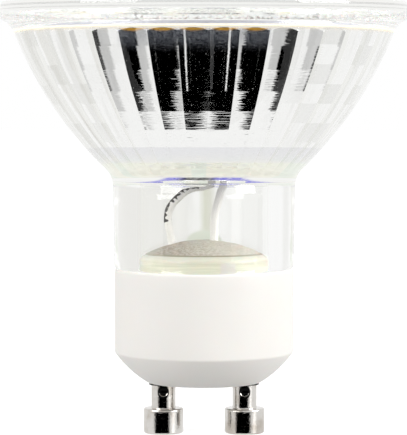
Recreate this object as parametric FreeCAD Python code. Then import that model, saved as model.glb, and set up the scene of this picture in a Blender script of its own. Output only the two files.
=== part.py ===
import FreeCAD, Part
import math
import os

from FreeCAD import Vector

# Spotlight bulb with a twist-lock two-pin base and a pressed glass reflector body.
# Millimetres. The origin is midway between the bottoms of the two pins, +Z runs up
# through the neck to the front cover, and the pins stand side by side along X.

# Contact pins
pin_pitch = 10.0
pin_head_r = 2.45
pin_head_height = 3.1
pin_head_bottom_round = 0.25
pin_head_top_chamfer = 0.2
pin_stem_r = 1.5
pin_reach = 6.4
pin_bore_r = 0.6
pin_bore_tip = 0.36
pin_bore_spare = 1.7
pin_flange_r = 2.1
pin_flange_thickness = 0.5
dimple_r = 0.75
dimple_depth = 0.35
dimple_below_base = 1.25

# Base shell
base_r = 11.0
base_height = 14.0
base_edge_past_pin = 0.55
base_chamfer_height = 3.7
base_chamfer_bulge = 0.28
base_floor_thickness = 1.5
base_wall_below_board = 1.8
base_wall_at_mouth = 0.9
base_rim_round = 0.3
boss_height = 1.1
boss_wall = 1.3
boss_root = 0.5
pin_hole_clearance = 0.05
pin_hole_relief = 0.4
pin_hole_relief_depth = 0.3

# Driver board and its parts
board_seat_depth = 5.4
driver_board_thickness = 1.0
board_edge_clearance = 0.15
hole_clearance = 0.08
leg_stick_out = 0.7
joint_r = 0.9
joint_tip_r = 0.5
joint_height = 0.6
joint_clearance = 0.03
film_cap_size = (9.0, 3.6, 4.8)
film_cap_wall_gap = 0.9
film_cap_leg_pitch = 7.5
film_cap_leg_r = 0.3
film_cap_round = 0.5
part_to_board_gap = 0.4
can_r = 2.4
can_length = 7.6
can_wall_gap = 0.95
can_axis_below_board = 3.0
can_round = 0.4
can_groove_r = 0.2
can_groove_from_end = 1.1
can_leg_r = 0.25
can_leg_pitch = 2.0
can_leg_reach = 1.4
can_leg_bend_r = 0.6
bridge_size = (4.6, 3.8, 2.3)
bridge_chamfer = 0.3
bridge_leg_width = 0.6
bridge_leg_thickness = 0.25
bridge_leg_reach = 0.55
bridge_leg_pitch = 2.5
chip_size = (1.25, 2.0, 0.5)
chip_cap_length = 0.35
chip_waist = 0.05
input_wire_r = 0.35
input_wire_insertion = 3.4
input_board_offset = 1.0
resistor_body_r = 1.1
resistor_body_length = 3.6
resistor_end_round = 0.4

# Glass body: rim, bowl and neck in one pressing
rim_r = 25.0
rim_height = 1.5
rim_edge_round = 0.45
rim_overhang = 1.65
lip_height = 1.9
lip_hollow_share = 0.45
lip_bulge = 0.28
bowl_height = 17.8
bowl_arc_r = 47.0
neck_overhang = 0.05
neck_taper = 0.2
neck_height = 11.4
neck_fillet_r = 3.0
spigot_gap = 0.6
spigot_wall = 1.5
spigot_length = 3.4
web_thickness = 1.1
web_below_corner = 0.3
web_hole_r = 3.4

# Faceted inside of the bowl
bowl_wall = 1.5
flute_count = 39
band_count = 8
band_shrink = 0.93
flute_turn_deg = 7.2
flute_phase_deg = 1.4
throat_height = 0.45
core_above_seat = 0.3

# Front stack: board, LEDs, sealant and cover
led_board_above_bowl = 0.7
led_board_ledge = 1.1
led_board_clearance = 0.15
led_board_thickness = 0.8
rim_wall = 1.45
cover_sink = 0.05
cover_clearance = 0.15
cover_thickness = 0.95
cover_chamfer = 0.15
sealant_thickness = 0.3
sealant_inset = 0.15
led_size = (3.5, 2.8, 0.7)
led_cup_size = (2.7, 2.1)
led_cup_depth = 0.35
led_cup_round = 0.5
led_mark_chamfer = 0.45
led_phosphor_sink = 0.05
led_ring_count = 3
led_first_ring = 6
led_ring_inner_r = 6.4
led_ring_margin = 3.9
ballast_size = (1.25, 2.0, 0.45)
ballast_count = 4
ballast_phase_deg = 30.0
ballast_cap_length = 0.35
dab_count = 6
dab_r = 0.9
dab_sink = 0.36
dab_board_lap = 0.54
dab_phase_deg = 10.0
front_joint_r = 1.0
front_joint_tip_r = 0.65
front_joint_height = 0.45

# Neck: cement, potting and the two leads
cement_clearance = 0.06
cement_end_gap = 0.2
potting_clearance = 0.05
potting_above_base = 1.55
potting_dome_height = 2.05
potting_flange_gap = 0.1
lead_r = 0.5
lead_hole_clearance = 0.06
lead_board_x = 1.8
lead_end_above_board = 0.35
lead_web_gap = 0.4

# Levels up the axis
base_bottom_z = pin_reach
base_chamfer_top_z = base_bottom_z + base_chamfer_height
base_rim_z = base_bottom_z + base_height
base_floor_z = base_bottom_z + base_floor_thickness
boss_top_z = base_floor_z + boss_height
pin_top_z = boss_top_z + pin_flange_thickness
pin_bore_floor_z = pin_top_z - input_wire_insertion - pin_bore_spare
dimple_z = base_bottom_z - dimple_below_base
board_seat_z = base_rim_z - board_seat_depth
driver_top_z = board_seat_z + driver_board_thickness
leg_top_z = driver_top_z + leg_stick_out
part_top_z = board_seat_z - part_to_board_gap
can_z = board_seat_z - can_axis_below_board
spigot_bottom_z = base_rim_z - spigot_length
potting_edge_z = base_rim_z + potting_above_base
potting_top_z = potting_edge_z + potting_dome_height
neck_corner_z = base_rim_z + neck_height
web_underside_z = neck_corner_z - web_below_corner
bowl_floor_z = web_underside_z + web_thickness
bowl_top_z = neck_corner_z + bowl_height
rim_bottom_z = bowl_top_z + lip_height
rim_top_z = rim_bottom_z + rim_height
led_board_seat_z = bowl_top_z + led_board_above_bowl
led_board_top_z = led_board_seat_z + led_board_thickness
arch_top_z = led_board_seat_z - throat_height
band_top_z = led_board_seat_z + core_above_seat
cover_bottom_z = rim_top_z - cover_sink - cover_thickness
sealant_bottom_z = cover_bottom_z - sealant_thickness

# Radii and places across
pin_x = pin_pitch / 2
base_bottom_r = pin_x + pin_stem_r + base_edge_past_pin
mouth_r = base_r - base_wall_at_mouth
well_r = base_r - base_wall_below_board
can_leg_x = can_length / 2 + can_leg_reach
neck_shoulder_r = base_r + neck_overhang
neck_top_r = neck_shoulder_r + neck_taper
spigot_r = mouth_r - spigot_gap
neck_cavity_r = spigot_r - spigot_wall
bowl_top_r = rim_r - rim_overhang
cover_recess_r = rim_r - rim_wall
cover_r = cover_recess_r - cover_clearance
led_board_recess_r = cover_recess_r - led_board_ledge
led_board_r = led_board_recess_r - led_board_clearance
dab_ring_r = led_board_recess_r - dab_board_lap
led_ring_step = (led_board_r - led_ring_margin - led_ring_inner_r) / (led_ring_count - 1)
led_rings = []
for ring_index in range(led_ring_count):
    ring_leds = led_first_ring * (ring_index + 1)
    ring_r = led_ring_inner_r + ring_index * led_ring_step
    half_step_deg = 180.0 / ring_leds
    led_rings.append((ring_leds, ring_r, half_step_deg * (ring_index % 2)))
ballast_ring_r = (led_rings[0][1] + led_rings[1][1]) / 2

# Centre of the bowl's outer arc: it passes the bowl's top edge and the neck's corner
arc_chord = math.hypot(bowl_top_r - neck_top_r, bowl_top_z - neck_corner_z)
arc_lean = math.atan2(bowl_top_z - neck_corner_z, bowl_top_r - neck_top_r)
arc_depth = math.sqrt(bowl_arc_r ** 2 - (arc_chord / 2) ** 2)
arc_centre_r = (bowl_top_r + neck_top_r) / 2 - arc_depth * math.sin(arc_lean)
arc_centre_z = (bowl_top_z + neck_corner_z) / 2 + arc_depth * math.cos(arc_lean)

# Places of the parts on the driver board, from the well's wall and the pins
film_cap_corner_r = well_r - film_cap_wall_gap
film_cap_back_y = math.sqrt(film_cap_corner_r ** 2 - (film_cap_size[0] / 2) ** 2)
film_cap_y = film_cap_size[1] / 2 - film_cap_back_y
can_corner_r = well_r - can_wall_gap
can_y = math.sqrt(can_corner_r ** 2 - (can_length / 2) ** 2) - can_r
input_board_x = pin_x + input_board_offset
chip_x = (input_board_x + input_wire_r + well_r) / 2
resistor_middle_z = (pin_top_z + board_seat_z) / 2

# Where the legs and wires pass the driver board: (x, y, wire radius)
lead_left_start_x = 2.0 - pin_x
lead_right_start_x = 1.25
lead_right_web_x = web_hole_r - lead_r - lead_web_gap
board_holes = (
    (-film_cap_leg_pitch / 2, film_cap_y, film_cap_leg_r),
    (film_cap_leg_pitch / 2, film_cap_y, film_cap_leg_r),
    (can_leg_x, can_y - can_leg_pitch / 2, can_leg_r),
    (can_leg_x, can_y + can_leg_pitch / 2, can_leg_r),
    (-pin_x, 0.0, input_wire_r),
    (input_board_x, 0.0, input_wire_r),
    (lead_left_start_x, 0.0, lead_r),
    (lead_right_start_x, 0.0, lead_r),
)

# Routes of the wires as corner points with the radius of the bend at each one
lead_left_route = (
    ((lead_left_start_x, 0.0, board_seat_z + 0.1), 0.0),
    ((lead_left_start_x, 0.0, base_rim_z - 1.4), 9.0),
    ((-4.75, 0.0, neck_corner_z - 4.2), 3.4),
    ((-1.9, 0.0, web_underside_z - 0.8), 3.1),
    ((1.0, 0.0, web_underside_z - 0.65), 1.45),
    ((0.8, 0.0, bowl_floor_z + 3.4), 14.0),
    ((-lead_board_x, 0.0, led_board_seat_z - 4.8), 14.0),
    ((-lead_board_x, 0.0, led_board_top_z + lead_end_above_board), 0.0),
)
lead_right_route = (
    ((lead_right_start_x, 0.0, board_seat_z + 0.1), 0.0),
    ((lead_right_start_x, 0.0, neck_corner_z - 5.0), 9.0),
    ((lead_right_web_x, 0.0, web_underside_z + 0.5), 9.0),
    ((lead_right_web_x, 0.0, bowl_floor_z + 4.4), 20.0),
    ((lead_board_x, 0.0, led_board_seat_z - 5.8), 20.0),
    ((lead_board_x, 0.0, led_board_top_z + lead_end_above_board), 0.0),
)
input_lead_route = (
    ((pin_x, 0.0, pin_top_z - input_wire_insertion), 0.0),
    ((pin_x, 0.0, pin_top_z + 1.1), 2.0),
    ((input_board_x, 0.0, pin_top_z + 3.3), 2.0),
    ((input_board_x, 0.0, leg_top_z), 0.0),
)

nodes = {}


# Shared helpers
def cylinder(radius, bottom_z, top_z, x=0.0, y=0.0):
    return Part.makeCylinder(radius, top_z - bottom_z, Vector(x, y, bottom_z))


def ring(outer_r, inner_r, bottom_z, top_z):
    return cylinder(outer_r, bottom_z, top_z).cut(cylinder(inner_r, bottom_z - 1, top_z + 1))


def block(size, centre_x, centre_y, bottom_z):
    corner = Vector(centre_x - size[0] / 2, centre_y - size[1] / 2, bottom_z)
    return Part.makeBox(size[0], size[1], size[2], corner)


def line(start, end):
    return Part.LineSegment(Vector(start[0], 0, start[1]), Vector(end[0], 0, end[1])).toShape()


def arc(start, middle, end):
    corners = [Vector(p[0], 0, p[1]) for p in (start, middle, end)]
    return Part.Arc(corners[0], corners[1], corners[2]).toShape()


def turned(edges):
    face = Part.Face(Part.Wire(edges))
    return face.revolve(Vector(0, 0, 0), Vector(0, 0, 1), 360)


def bulged(start, end, bulge):
    # Middle point of an arc that stands out by the bulge to the right of start to end
    run = math.hypot(end[0] - start[0], end[1] - start[1])
    side_r = (end[1] - start[1]) / run
    side_z = -(end[0] - start[0]) / run
    return ((start[0] + end[0]) / 2 + bulge * side_r, (start[1] + end[1]) / 2 + bulge * side_z)


def around(shape, count, phase_deg=0.0):
    step = 360.0 / count
    copies = []
    for i in range(count):
        copy = shape.copy()
        copy.rotate(Vector(0, 0, 0), Vector(0, 0, 1), phase_deg + i * step)
        copies.append(copy)
    return copies


def bent_path(route):
    # Straight runs joined by tangent arcs
    points = [Vector(*point) for point, radius in route]
    edges = []
    start = points[0]
    for i in range(1, len(points) - 1):
        back = (points[i - 1] - points[i]).normalize()
        ahead = (points[i + 1] - points[i]).normalize()
        half_turn = (math.pi - back.getAngle(ahead)) / 2
        radius = route[i][1]
        reach = radius * math.tan(half_turn)
        middle_dir = (back + ahead).normalize()
        middle_reach = radius / math.cos(half_turn) - radius
        arc_start = points[i] + back * reach
        arc_end = points[i] + ahead * reach
        arc_middle = points[i] + middle_dir * middle_reach
        edges.append(Part.LineSegment(start, arc_start).toShape())
        edges.append(Part.Arc(arc_start, arc_middle, arc_end).toShape())
        start = arc_end
    edges.append(Part.LineSegment(start, points[-1]).toShape())
    return Part.Wire(edges)


def wire_along(route, radius):
    path = bent_path(route)
    start = Vector(*route[0][0])
    heading = Vector(*route[1][0]) - start
    section = Part.Wire(Part.makeCircle(radius, start, heading))
    return path.makePipeShell([section], True, True)


# Contact pins: turned stem and head, bored for the input wire and crimped with one punch
def contact_pin(x):
    edges = [
        line((0, 0), (pin_head_r - pin_head_bottom_round, 0)),
        arc(
            (pin_head_r - pin_head_bottom_round, 0),
            (
                pin_head_r - pin_head_bottom_round * (1 - math.sqrt(0.5)),
                pin_head_bottom_round * (1 - math.sqrt(0.5)),
            ),
            (pin_head_r, pin_head_bottom_round),
        ),
    ]
    outline = [
        (pin_head_r, pin_head_bottom_round),
        (pin_head_r, pin_head_height - pin_head_top_chamfer),
        (pin_head_r - pin_head_top_chamfer, pin_head_height),
        (pin_stem_r, pin_head_height),
        (pin_stem_r, boss_top_z),
        (pin_flange_r, boss_top_z),
        (pin_flange_r, pin_top_z),
        (pin_bore_r, pin_top_z),
        (pin_bore_r, pin_bore_floor_z),
        (0, pin_bore_floor_z - pin_bore_tip),
        (0, 0),
    ]
    for start, end in zip(outline, outline[1:]):
        edges.append(line(start, end))
    pin = turned(edges)
    punch_r = (dimple_r ** 2 + dimple_depth ** 2) / (2 * dimple_depth)
    punch_y = -(pin_stem_r - dimple_depth + punch_r)
    punch = Part.makeSphere(punch_r, Vector(0, punch_y, dimple_z))
    pin = pin.cut(punch)
    pin.translate(Vector(x, 0, 0))
    return pin


# Base shell: moulded cup with a board ledge, a mouth for the neck and two pin bosses
def base_shell():
    chamfer_top = (base_r, base_chamfer_top_z)
    chamfer_bottom = (base_bottom_r, base_bottom_z)
    chamfer_middle = bulged(chamfer_bottom, chamfer_top, base_chamfer_bulge)
    inner_wall = base_r - well_r
    well_corner = (base_bottom_r - inner_wall / 2, base_floor_z)
    well_side = (well_r, base_chamfer_top_z + inner_wall / 4)
    edges = [
        line((0, base_bottom_z), chamfer_bottom),
        arc(chamfer_bottom, chamfer_middle, chamfer_top),
        line(chamfer_top, (base_r, base_rim_z)),
        line((base_r, base_rim_z), (mouth_r, base_rim_z)),
        line((mouth_r, base_rim_z), (mouth_r, board_seat_z)),
        line((mouth_r, board_seat_z), (well_r, board_seat_z)),
        line((well_r, board_seat_z), well_side),
        arc(well_side, bulged(well_corner, well_side, base_chamfer_bulge), well_corner),
        line(well_corner, (0, base_floor_z)),
        line((0, base_floor_z), (0, base_bottom_z)),
    ]
    outside = turned(
        [
            line((0, base_bottom_z), chamfer_bottom),
            arc(chamfer_bottom, chamfer_middle, chamfer_top),
            line(chamfer_top, (base_r, boss_top_z + base_chamfer_height)),
            line((base_r, boss_top_z + base_chamfer_height), (0, boss_top_z + base_chamfer_height)),
            line((0, boss_top_z + base_chamfer_height), (0, base_bottom_z)),
        ]
    )
    shell = turned(edges)
    rim_edges = []
    for edge in shell.Edges:
        box = edge.BoundBox
        if abs(box.ZMin - base_rim_z) < 1e-6 and abs(box.ZMax - base_rim_z) < 1e-6:
            if abs(box.XMax - base_r) < 1e-3:
                rim_edges.append(edge)
    shell = shell.makeFillet(base_rim_round, rim_edges)
    for x in (-pin_x, pin_x):
        boss = cylinder(pin_stem_r + boss_wall, base_bottom_z + boss_root, boss_top_z, x)
        shell = shell.fuse(boss.common(outside))
    for x in (-pin_x, pin_x):
        hole_r = pin_stem_r + pin_hole_clearance
        shell = shell.cut(cylinder(hole_r, base_bottom_z - 1, boss_top_z + 1, x))
        relief_top_z = base_bottom_z + pin_hole_relief_depth
        relief_r = pin_stem_r + pin_hole_relief
        shell = shell.cut(cylinder(relief_r, base_bottom_z - 1, relief_top_z, x))
    return shell.removeSplitter()


# Driver: a round board on the ledge with its parts hanging below it
def driver_board():
    board = cylinder(mouth_r - board_edge_clearance, board_seat_z, driver_top_z)
    for x, y, radius in board_holes:
        hole_r = radius + hole_clearance
        board = board.cut(cylinder(hole_r, board_seat_z - 1, driver_top_z + 1, x, y))
    return board


def solder_joint(x, y, bottom_z, foot_r, tip_r, height, wire_r):
    cone = Part.makeCone(foot_r, tip_r, height, Vector(x, y, bottom_z))
    hole_r = wire_r + joint_clearance
    return cone.cut(cylinder(hole_r, bottom_z - 1, bottom_z + height + 1, x, y))


def driver_solder_joints():
    joints = []
    for x, y, radius in board_holes:
        tip_r = joint_tip_r + radius / 4
        joints.append(solder_joint(x, y, driver_top_z, joint_r, tip_r, joint_height, radius))
    return Part.makeCompound(joints)


def film_capacitor():
    body = block(film_cap_size, 0, film_cap_y, part_top_z - film_cap_size[2])
    body = body.makeFillet(film_cap_round, body.Edges)
    for side in (-1, 1):
        x = side * film_cap_leg_pitch / 2
        body = body.fuse(cylinder(film_cap_leg_r, part_top_z - 0.5, leg_top_z, x, film_cap_y))
    return body


def electrolytic_capacitor():
    end = can_length / 2
    groove = end - can_groove_from_end
    corner = can_round * (1 - math.sqrt(0.5))
    edges = [
        line((0, -end), (can_r - can_round, -end)),
        arc((can_r - can_round, -end), (can_r - corner, -end + corner), (can_r, -end + can_round)),
        line((can_r, -end + can_round), (can_r, groove - can_groove_r)),
        arc((can_r, groove - can_groove_r), (can_r - can_groove_r, groove), (can_r, groove + can_groove_r)),
        line((can_r, groove + can_groove_r), (can_r, end - can_round)),
        arc((can_r, end - can_round), (can_r - corner, end - corner), (can_r - can_round, end)),
        line((can_r - can_round, end), (0, end)),
        line((0, end), (0, -end)),
    ]
    can = turned(edges)
    can.rotate(Vector(0, 0, 0), Vector(0, 1, 0), 90)
    can.translate(Vector(0, can_y, can_z))
    for side in (-1, 1):
        y = can_y + side * can_leg_pitch / 2
        route = (
            ((end - 0.5, y, can_z), 0.0),
            ((can_leg_x, y, can_z), can_leg_bend_r),
            ((can_leg_x, y, leg_top_z), 0.0),
        )
        can = can.fuse(wire_along(route, can_leg_r))
    return can


def bridge_rectifier():
    bottom_z = part_top_z - bridge_size[2]
    body = block(bridge_size, 0, 0, bottom_z)
    upright = [edge for edge in body.Edges if edge.BoundBox.ZLength > 1]
    body = body.makeChamfer(bridge_chamfer, upright)
    middle_z = bottom_z + bridge_size[2] / 2
    for side in (-1, 1):
        for place in (-1, 1):
            y = place * bridge_leg_pitch / 2
            x = side * (bridge_size[0] / 2 + bridge_leg_reach / 2)
            across = (bridge_leg_reach, bridge_leg_width, bridge_leg_thickness)
            shelf = block(across, x, y, middle_z)
            drop_x = side * (bridge_size[0] / 2 + bridge_leg_reach - bridge_leg_thickness / 2)
            drop_height = board_seat_z - middle_z
            drop = block((bridge_leg_thickness, bridge_leg_width, drop_height), drop_x, y, middle_z)
            body = body.fuse(shelf).fuse(drop)
    return body.removeSplitter()


def chip_resistor(size, cap_length, x, y, bottom_z):
    body = block(size, x, y, bottom_z)
    waist_size = (size[0] + 1, size[1] - 2 * cap_length, chip_waist)
    body = body.cut(block(waist_size, x, y, bottom_z))
    return body.cut(block(waist_size, x, y, bottom_z + size[2] - chip_waist))


def fusible_resistor():
    bottom_z = resistor_middle_z - resistor_body_length / 2
    body = cylinder(resistor_body_r, bottom_z, bottom_z + resistor_body_length, -pin_x)
    rims = [edge for edge in body.Edges if edge.BoundBox.ZLength < 0.1]
    body = body.makeFillet(resistor_end_round, rims)
    lead = cylinder(input_wire_r, pin_top_z - input_wire_insertion, leg_top_z, -pin_x)
    return body.fuse(lead)


# Glass body: the outside is turned, and the bowl's inside is cut by a fluted, banded core
def bowl_wall_r(z):
    # Radius of the bowl's inside at the cusps between flutes
    return arc_centre_r + math.sqrt((bowl_arc_r - bowl_wall) ** 2 - (z - arc_centre_z) ** 2)


def fluted_section(z):
    cusp_r = bowl_wall_r(z)
    half_pitch = math.pi / flute_count
    half_chord = cusp_r * math.sin(half_pitch)
    bulge = half_chord * math.tan(math.radians(flute_turn_deg) / 2)
    crown_r = cusp_r * math.cos(half_pitch) - bulge
    edges = []
    for i in range(flute_count):
        middle = math.radians(flute_phase_deg) + (2 * i + 1) * half_pitch
        ends = (middle - half_pitch, middle + half_pitch)
        start = Vector(cusp_r * math.sin(ends[0]), -cusp_r * math.cos(ends[0]), z)
        crown = Vector(crown_r * math.sin(middle), -crown_r * math.cos(middle), z)
        end = Vector(cusp_r * math.sin(ends[1]), -cusp_r * math.cos(ends[1]), z)
        edges.append(Part.Arc(start, crown, end).toShape())
    return Part.Wire(edges)


def band_levels():
    # Each band is a little lower than the one above it, from the top down to the floor
    first = (band_top_z - bowl_floor_z) * (1 - band_shrink) / (1 - band_shrink ** band_count)
    levels = [band_top_z]
    for i in range(band_count):
        levels.append(levels[-1] - first * band_shrink ** i)
    return levels


def faceted_core():
    sections = [fluted_section(z) for z in band_levels()]
    core = Part.makeLoft(sections, True, True)
    half_pitch = math.pi / flute_count
    cusp_r = bowl_wall_r(arch_top_z)
    bulge = cusp_r * math.sin(half_pitch) * math.tan(math.radians(flute_turn_deg) / 2)
    throat_r = cusp_r * math.cos(half_pitch) - bulge
    return core.common(cylinder(throat_r, bowl_floor_z - 1, led_board_seat_z + 0.1))


def glass_outside():
    lip_start = (bowl_top_r, bowl_top_z)
    lip_end = (rim_r, rim_bottom_z)
    lip_hollow = (bowl_top_r + rim_overhang * lip_hollow_share, bowl_top_z + lip_height * lip_hollow_share)
    middle_turn = math.pi / 2 - arc_lean
    bowl_middle = (
        arc_centre_r + bowl_arc_r * math.cos(middle_turn),
        arc_centre_z - bowl_arc_r * math.sin(middle_turn),
    )
    corner = rim_edge_round * (1 - math.sqrt(0.5))
    edges = [
        line((0, spigot_bottom_z), (spigot_r, spigot_bottom_z)),
        line((spigot_r, spigot_bottom_z), (spigot_r, base_rim_z)),
        line((spigot_r, base_rim_z), (neck_shoulder_r, base_rim_z)),
        line((neck_shoulder_r, base_rim_z), (neck_top_r, neck_corner_z)),
        arc((neck_top_r, neck_corner_z), bowl_middle, lip_start),
        line(lip_start, lip_hollow),
        arc(lip_hollow, bulged(lip_hollow, lip_end, lip_bulge), lip_end),
        line(lip_end, (rim_r, rim_top_z - rim_edge_round)),
        arc(
            (rim_r, rim_top_z - rim_edge_round),
            (rim_r - corner, rim_top_z - corner),
            (rim_r - rim_edge_round, rim_top_z),
        ),
        line((rim_r - rim_edge_round, rim_top_z), (0, rim_top_z)),
        line((0, rim_top_z), (0, spigot_bottom_z)),
    ]
    outside = turned(edges)
    corner_edges = []
    for edge in outside.Edges:
        box = edge.BoundBox
        if abs(box.ZMin - neck_corner_z) < 1e-3 and abs(box.ZMax - neck_corner_z) < 1e-3:
            corner_edges.append(edge)
    return outside.makeFillet(neck_fillet_r, corner_edges)


def glass_body():
    body = glass_outside()
    body = body.cut(cylinder(cover_recess_r, sealant_bottom_z, rim_top_z + 1))
    body = body.cut(cylinder(led_board_recess_r, led_board_seat_z, rim_top_z + 1))
    body = body.cut(faceted_core())
    body = body.cut(cylinder(neck_cavity_r, spigot_bottom_z - 1, web_underside_z))
    body = body.cut(cylinder(web_hole_r, web_underside_z - 1, bowl_floor_z + 1))
    return body


# Neck: the cement ring round the spigot and the domed potting with its pockets
def neck_cement():
    inner_r = spigot_r + cement_clearance
    outer_r = mouth_r - cement_clearance
    return ring(outer_r, inner_r, spigot_bottom_z + cement_end_gap, base_rim_z - cement_end_gap)


def neck_potting():
    plug_r = neck_cavity_r - potting_clearance
    flange_r = mouth_r - board_edge_clearance
    flange_top_z = spigot_bottom_z - potting_flange_gap
    rise = potting_top_z - potting_edge_z
    dome_r = (plug_r ** 2 + rise ** 2) / (2 * rise)
    half_r = plug_r / 2
    half_z = potting_top_z - dome_r + math.sqrt(dome_r ** 2 - half_r ** 2)
    edges = [
        line((0, driver_top_z), (flange_r, driver_top_z)),
        line((flange_r, driver_top_z), (flange_r, flange_top_z)),
        line((flange_r, flange_top_z), (plug_r, flange_top_z)),
        line((plug_r, flange_top_z), (plug_r, potting_edge_z)),
        arc((plug_r, potting_edge_z), (half_r, half_z), (0, potting_top_z)),
        line((0, potting_top_z), (0, driver_top_z)),
    ]
    plug = turned(edges)
    pocket_r = joint_r + potting_clearance
    pocket_top_z = leg_top_z + potting_clearance
    for x, y, radius in board_holes:
        plug = plug.cut(cylinder(pocket_r, driver_top_z - 1, pocket_top_z, x, y))
    for route in (lead_left_route, lead_right_route):
        plug = plug.cut(wire_along(route, lead_r + lead_hole_clearance))
    return plug


# Front: LED board, LEDs, ballast resistors, solder, silicone dabs, sealant and cover
def led_board():
    board = cylinder(led_board_r, led_board_seat_z, led_board_top_z)
    for x in (-lead_board_x, lead_board_x):
        hole_r = lead_r + hole_clearance
        board = board.cut(cylinder(hole_r, led_board_seat_z - 1, led_board_top_z + 1, x))
    return board


def led_cup(bottom_z, height, ring_r):
    cup = block((led_cup_size[1], led_cup_size[0], height), ring_r, 0, bottom_z)
    upright = [edge for edge in cup.Edges if edge.BoundBox.ZLength > height / 2]
    return cup.makeFillet(led_cup_round, upright)


def led_package(ring_r):
    size = (led_size[1], led_size[0], led_size[2])
    body = block(size, ring_r, 0, led_board_top_z)
    corner = []
    for edge in body.Edges:
        middle = edge.CenterOfMass
        if edge.BoundBox.ZLength > size[2] / 2 and middle.x > ring_r and middle.y > 0:
            corner.append(edge)
    body = body.makeChamfer(led_mark_chamfer, corner)
    top_z = led_board_top_z + led_size[2]
    return body.cut(led_cup(top_z - led_cup_depth, led_cup_depth + 1, ring_r))


def led_phosphor(ring_r):
    top_z = led_board_top_z + led_size[2]
    return led_cup(top_z - led_cup_depth, led_cup_depth - led_phosphor_sink, ring_r)


def on_led_rings(make):
    parts = []
    for count, ring_r, phase_deg in led_rings:
        parts.extend(around(make(ring_r), count, phase_deg))
    return Part.makeCompound(parts)


def ballast_resistors():
    chip = chip_resistor(ballast_size, ballast_cap_length, ballast_ring_r, 0, led_board_top_z)
    return Part.makeCompound(around(chip, ballast_count, ballast_phase_deg))


def lead_solder_joints():
    joints = []
    for x in (-lead_board_x, lead_board_x):
        joint = solder_joint(
            x, 0, led_board_top_z, front_joint_r, front_joint_tip_r, front_joint_height, lead_r
        )
        joints.append(joint)
    return Part.makeCompound(joints)


def silicone_dabs():
    dome = Part.makeSphere(dab_r, Vector(dab_ring_r, 0, led_board_top_z - dab_sink))
    keep = cylinder(led_board_recess_r - 0.05, led_board_top_z, sealant_bottom_z)
    return Part.makeCompound(around(dome.common(keep), dab_count, dab_phase_deg))


def rim_sealant():
    return ring(cover_r, led_board_recess_r + sealant_inset, sealant_bottom_z, cover_bottom_z)


def front_cover():
    cover = cylinder(cover_r, cover_bottom_z, cover_bottom_z + cover_thickness)
    rims = [edge for edge in cover.Edges if edge.BoundBox.ZLength < 0.1]
    return cover.makeChamfer(cover_chamfer, rims)


nodes["contact_pin_left"] = contact_pin(-pin_x)
nodes["contact_pin_right"] = contact_pin(pin_x)
nodes["base_shell"] = base_shell()
nodes["driver_board"] = driver_board()
nodes["driver_solder_joints"] = driver_solder_joints()
nodes["film_capacitor"] = film_capacitor()
nodes["electrolytic_capacitor"] = electrolytic_capacitor()
nodes["bridge_rectifier"] = bridge_rectifier()
nodes["bleed_resistor"] = chip_resistor(
    chip_size, chip_cap_length, chip_x, 0, board_seat_z - chip_size[2]
)
nodes["fusible_resistor"] = fusible_resistor()
nodes["input_lead"] = wire_along(input_lead_route, input_wire_r)
nodes["glass_body"] = glass_body()
nodes["neck_cement"] = neck_cement()
nodes["neck_potting"] = neck_potting()
nodes["lead_left"] = wire_along(lead_left_route, lead_r)
nodes["lead_right"] = wire_along(lead_right_route, lead_r)
nodes["led_board"] = led_board()
nodes["led_packages"] = on_led_rings(led_package)
nodes["led_phosphor"] = on_led_rings(led_phosphor)
nodes["ballast_resistors"] = ballast_resistors()
nodes["lead_solder_joints"] = lead_solder_joints()
nodes["silicone_dabs"] = silicone_dabs()
nodes["rim_sealant"] = rim_sealant()
nodes["front_cover"] = front_cover()

os.makedirs("parts", exist_ok=True)
for name, shape in nodes.items():
    shape.exportStep("parts/" + name + ".step")
    volume = round(shape.Volume, 2)
    print(name, "solids", len(shape.Solids), "valid", shape.isValid(), "volume", volume)

for name, route, radius in (
    ("lead_left", lead_left_route, lead_r),
    ("lead_right", lead_right_route, lead_r),
    ("input_lead", input_lead_route, input_wire_r),
):
    length = bent_path(route).Length
    share = nodes[name].Volume / (math.pi * radius ** 2 * length)
    print(name, "length", round(length, 2), "volume over section times length", share)
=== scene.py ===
import math

import bmesh
import bpy
from mathutils import Matrix, Vector, noise


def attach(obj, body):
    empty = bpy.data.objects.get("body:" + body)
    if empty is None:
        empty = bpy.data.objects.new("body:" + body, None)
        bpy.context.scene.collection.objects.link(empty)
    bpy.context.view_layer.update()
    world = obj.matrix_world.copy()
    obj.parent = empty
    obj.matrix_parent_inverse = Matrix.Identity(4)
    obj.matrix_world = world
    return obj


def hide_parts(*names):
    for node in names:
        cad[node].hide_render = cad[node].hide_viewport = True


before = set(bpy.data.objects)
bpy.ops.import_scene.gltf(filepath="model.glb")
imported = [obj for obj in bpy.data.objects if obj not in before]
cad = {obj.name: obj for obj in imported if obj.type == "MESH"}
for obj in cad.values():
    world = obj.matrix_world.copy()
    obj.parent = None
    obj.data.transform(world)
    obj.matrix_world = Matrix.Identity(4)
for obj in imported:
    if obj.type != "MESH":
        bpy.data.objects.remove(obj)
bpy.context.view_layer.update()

# Spotlight bulb, standing on its two pins with the glass front up. Sizes are in millimetres
# where a dictionary gives them, and become metres in the meshes.
mm = 0.001
scene = bpy.context.scene
print("frame loaded:", len(cad), "nodes")


# Node trees
def operator(operation, swapped=False):
    def apply(self, other):
        pair = (other, self) if swapped else (self, other)
        return self.tree.math(operation, *pair)
    return apply


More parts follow.
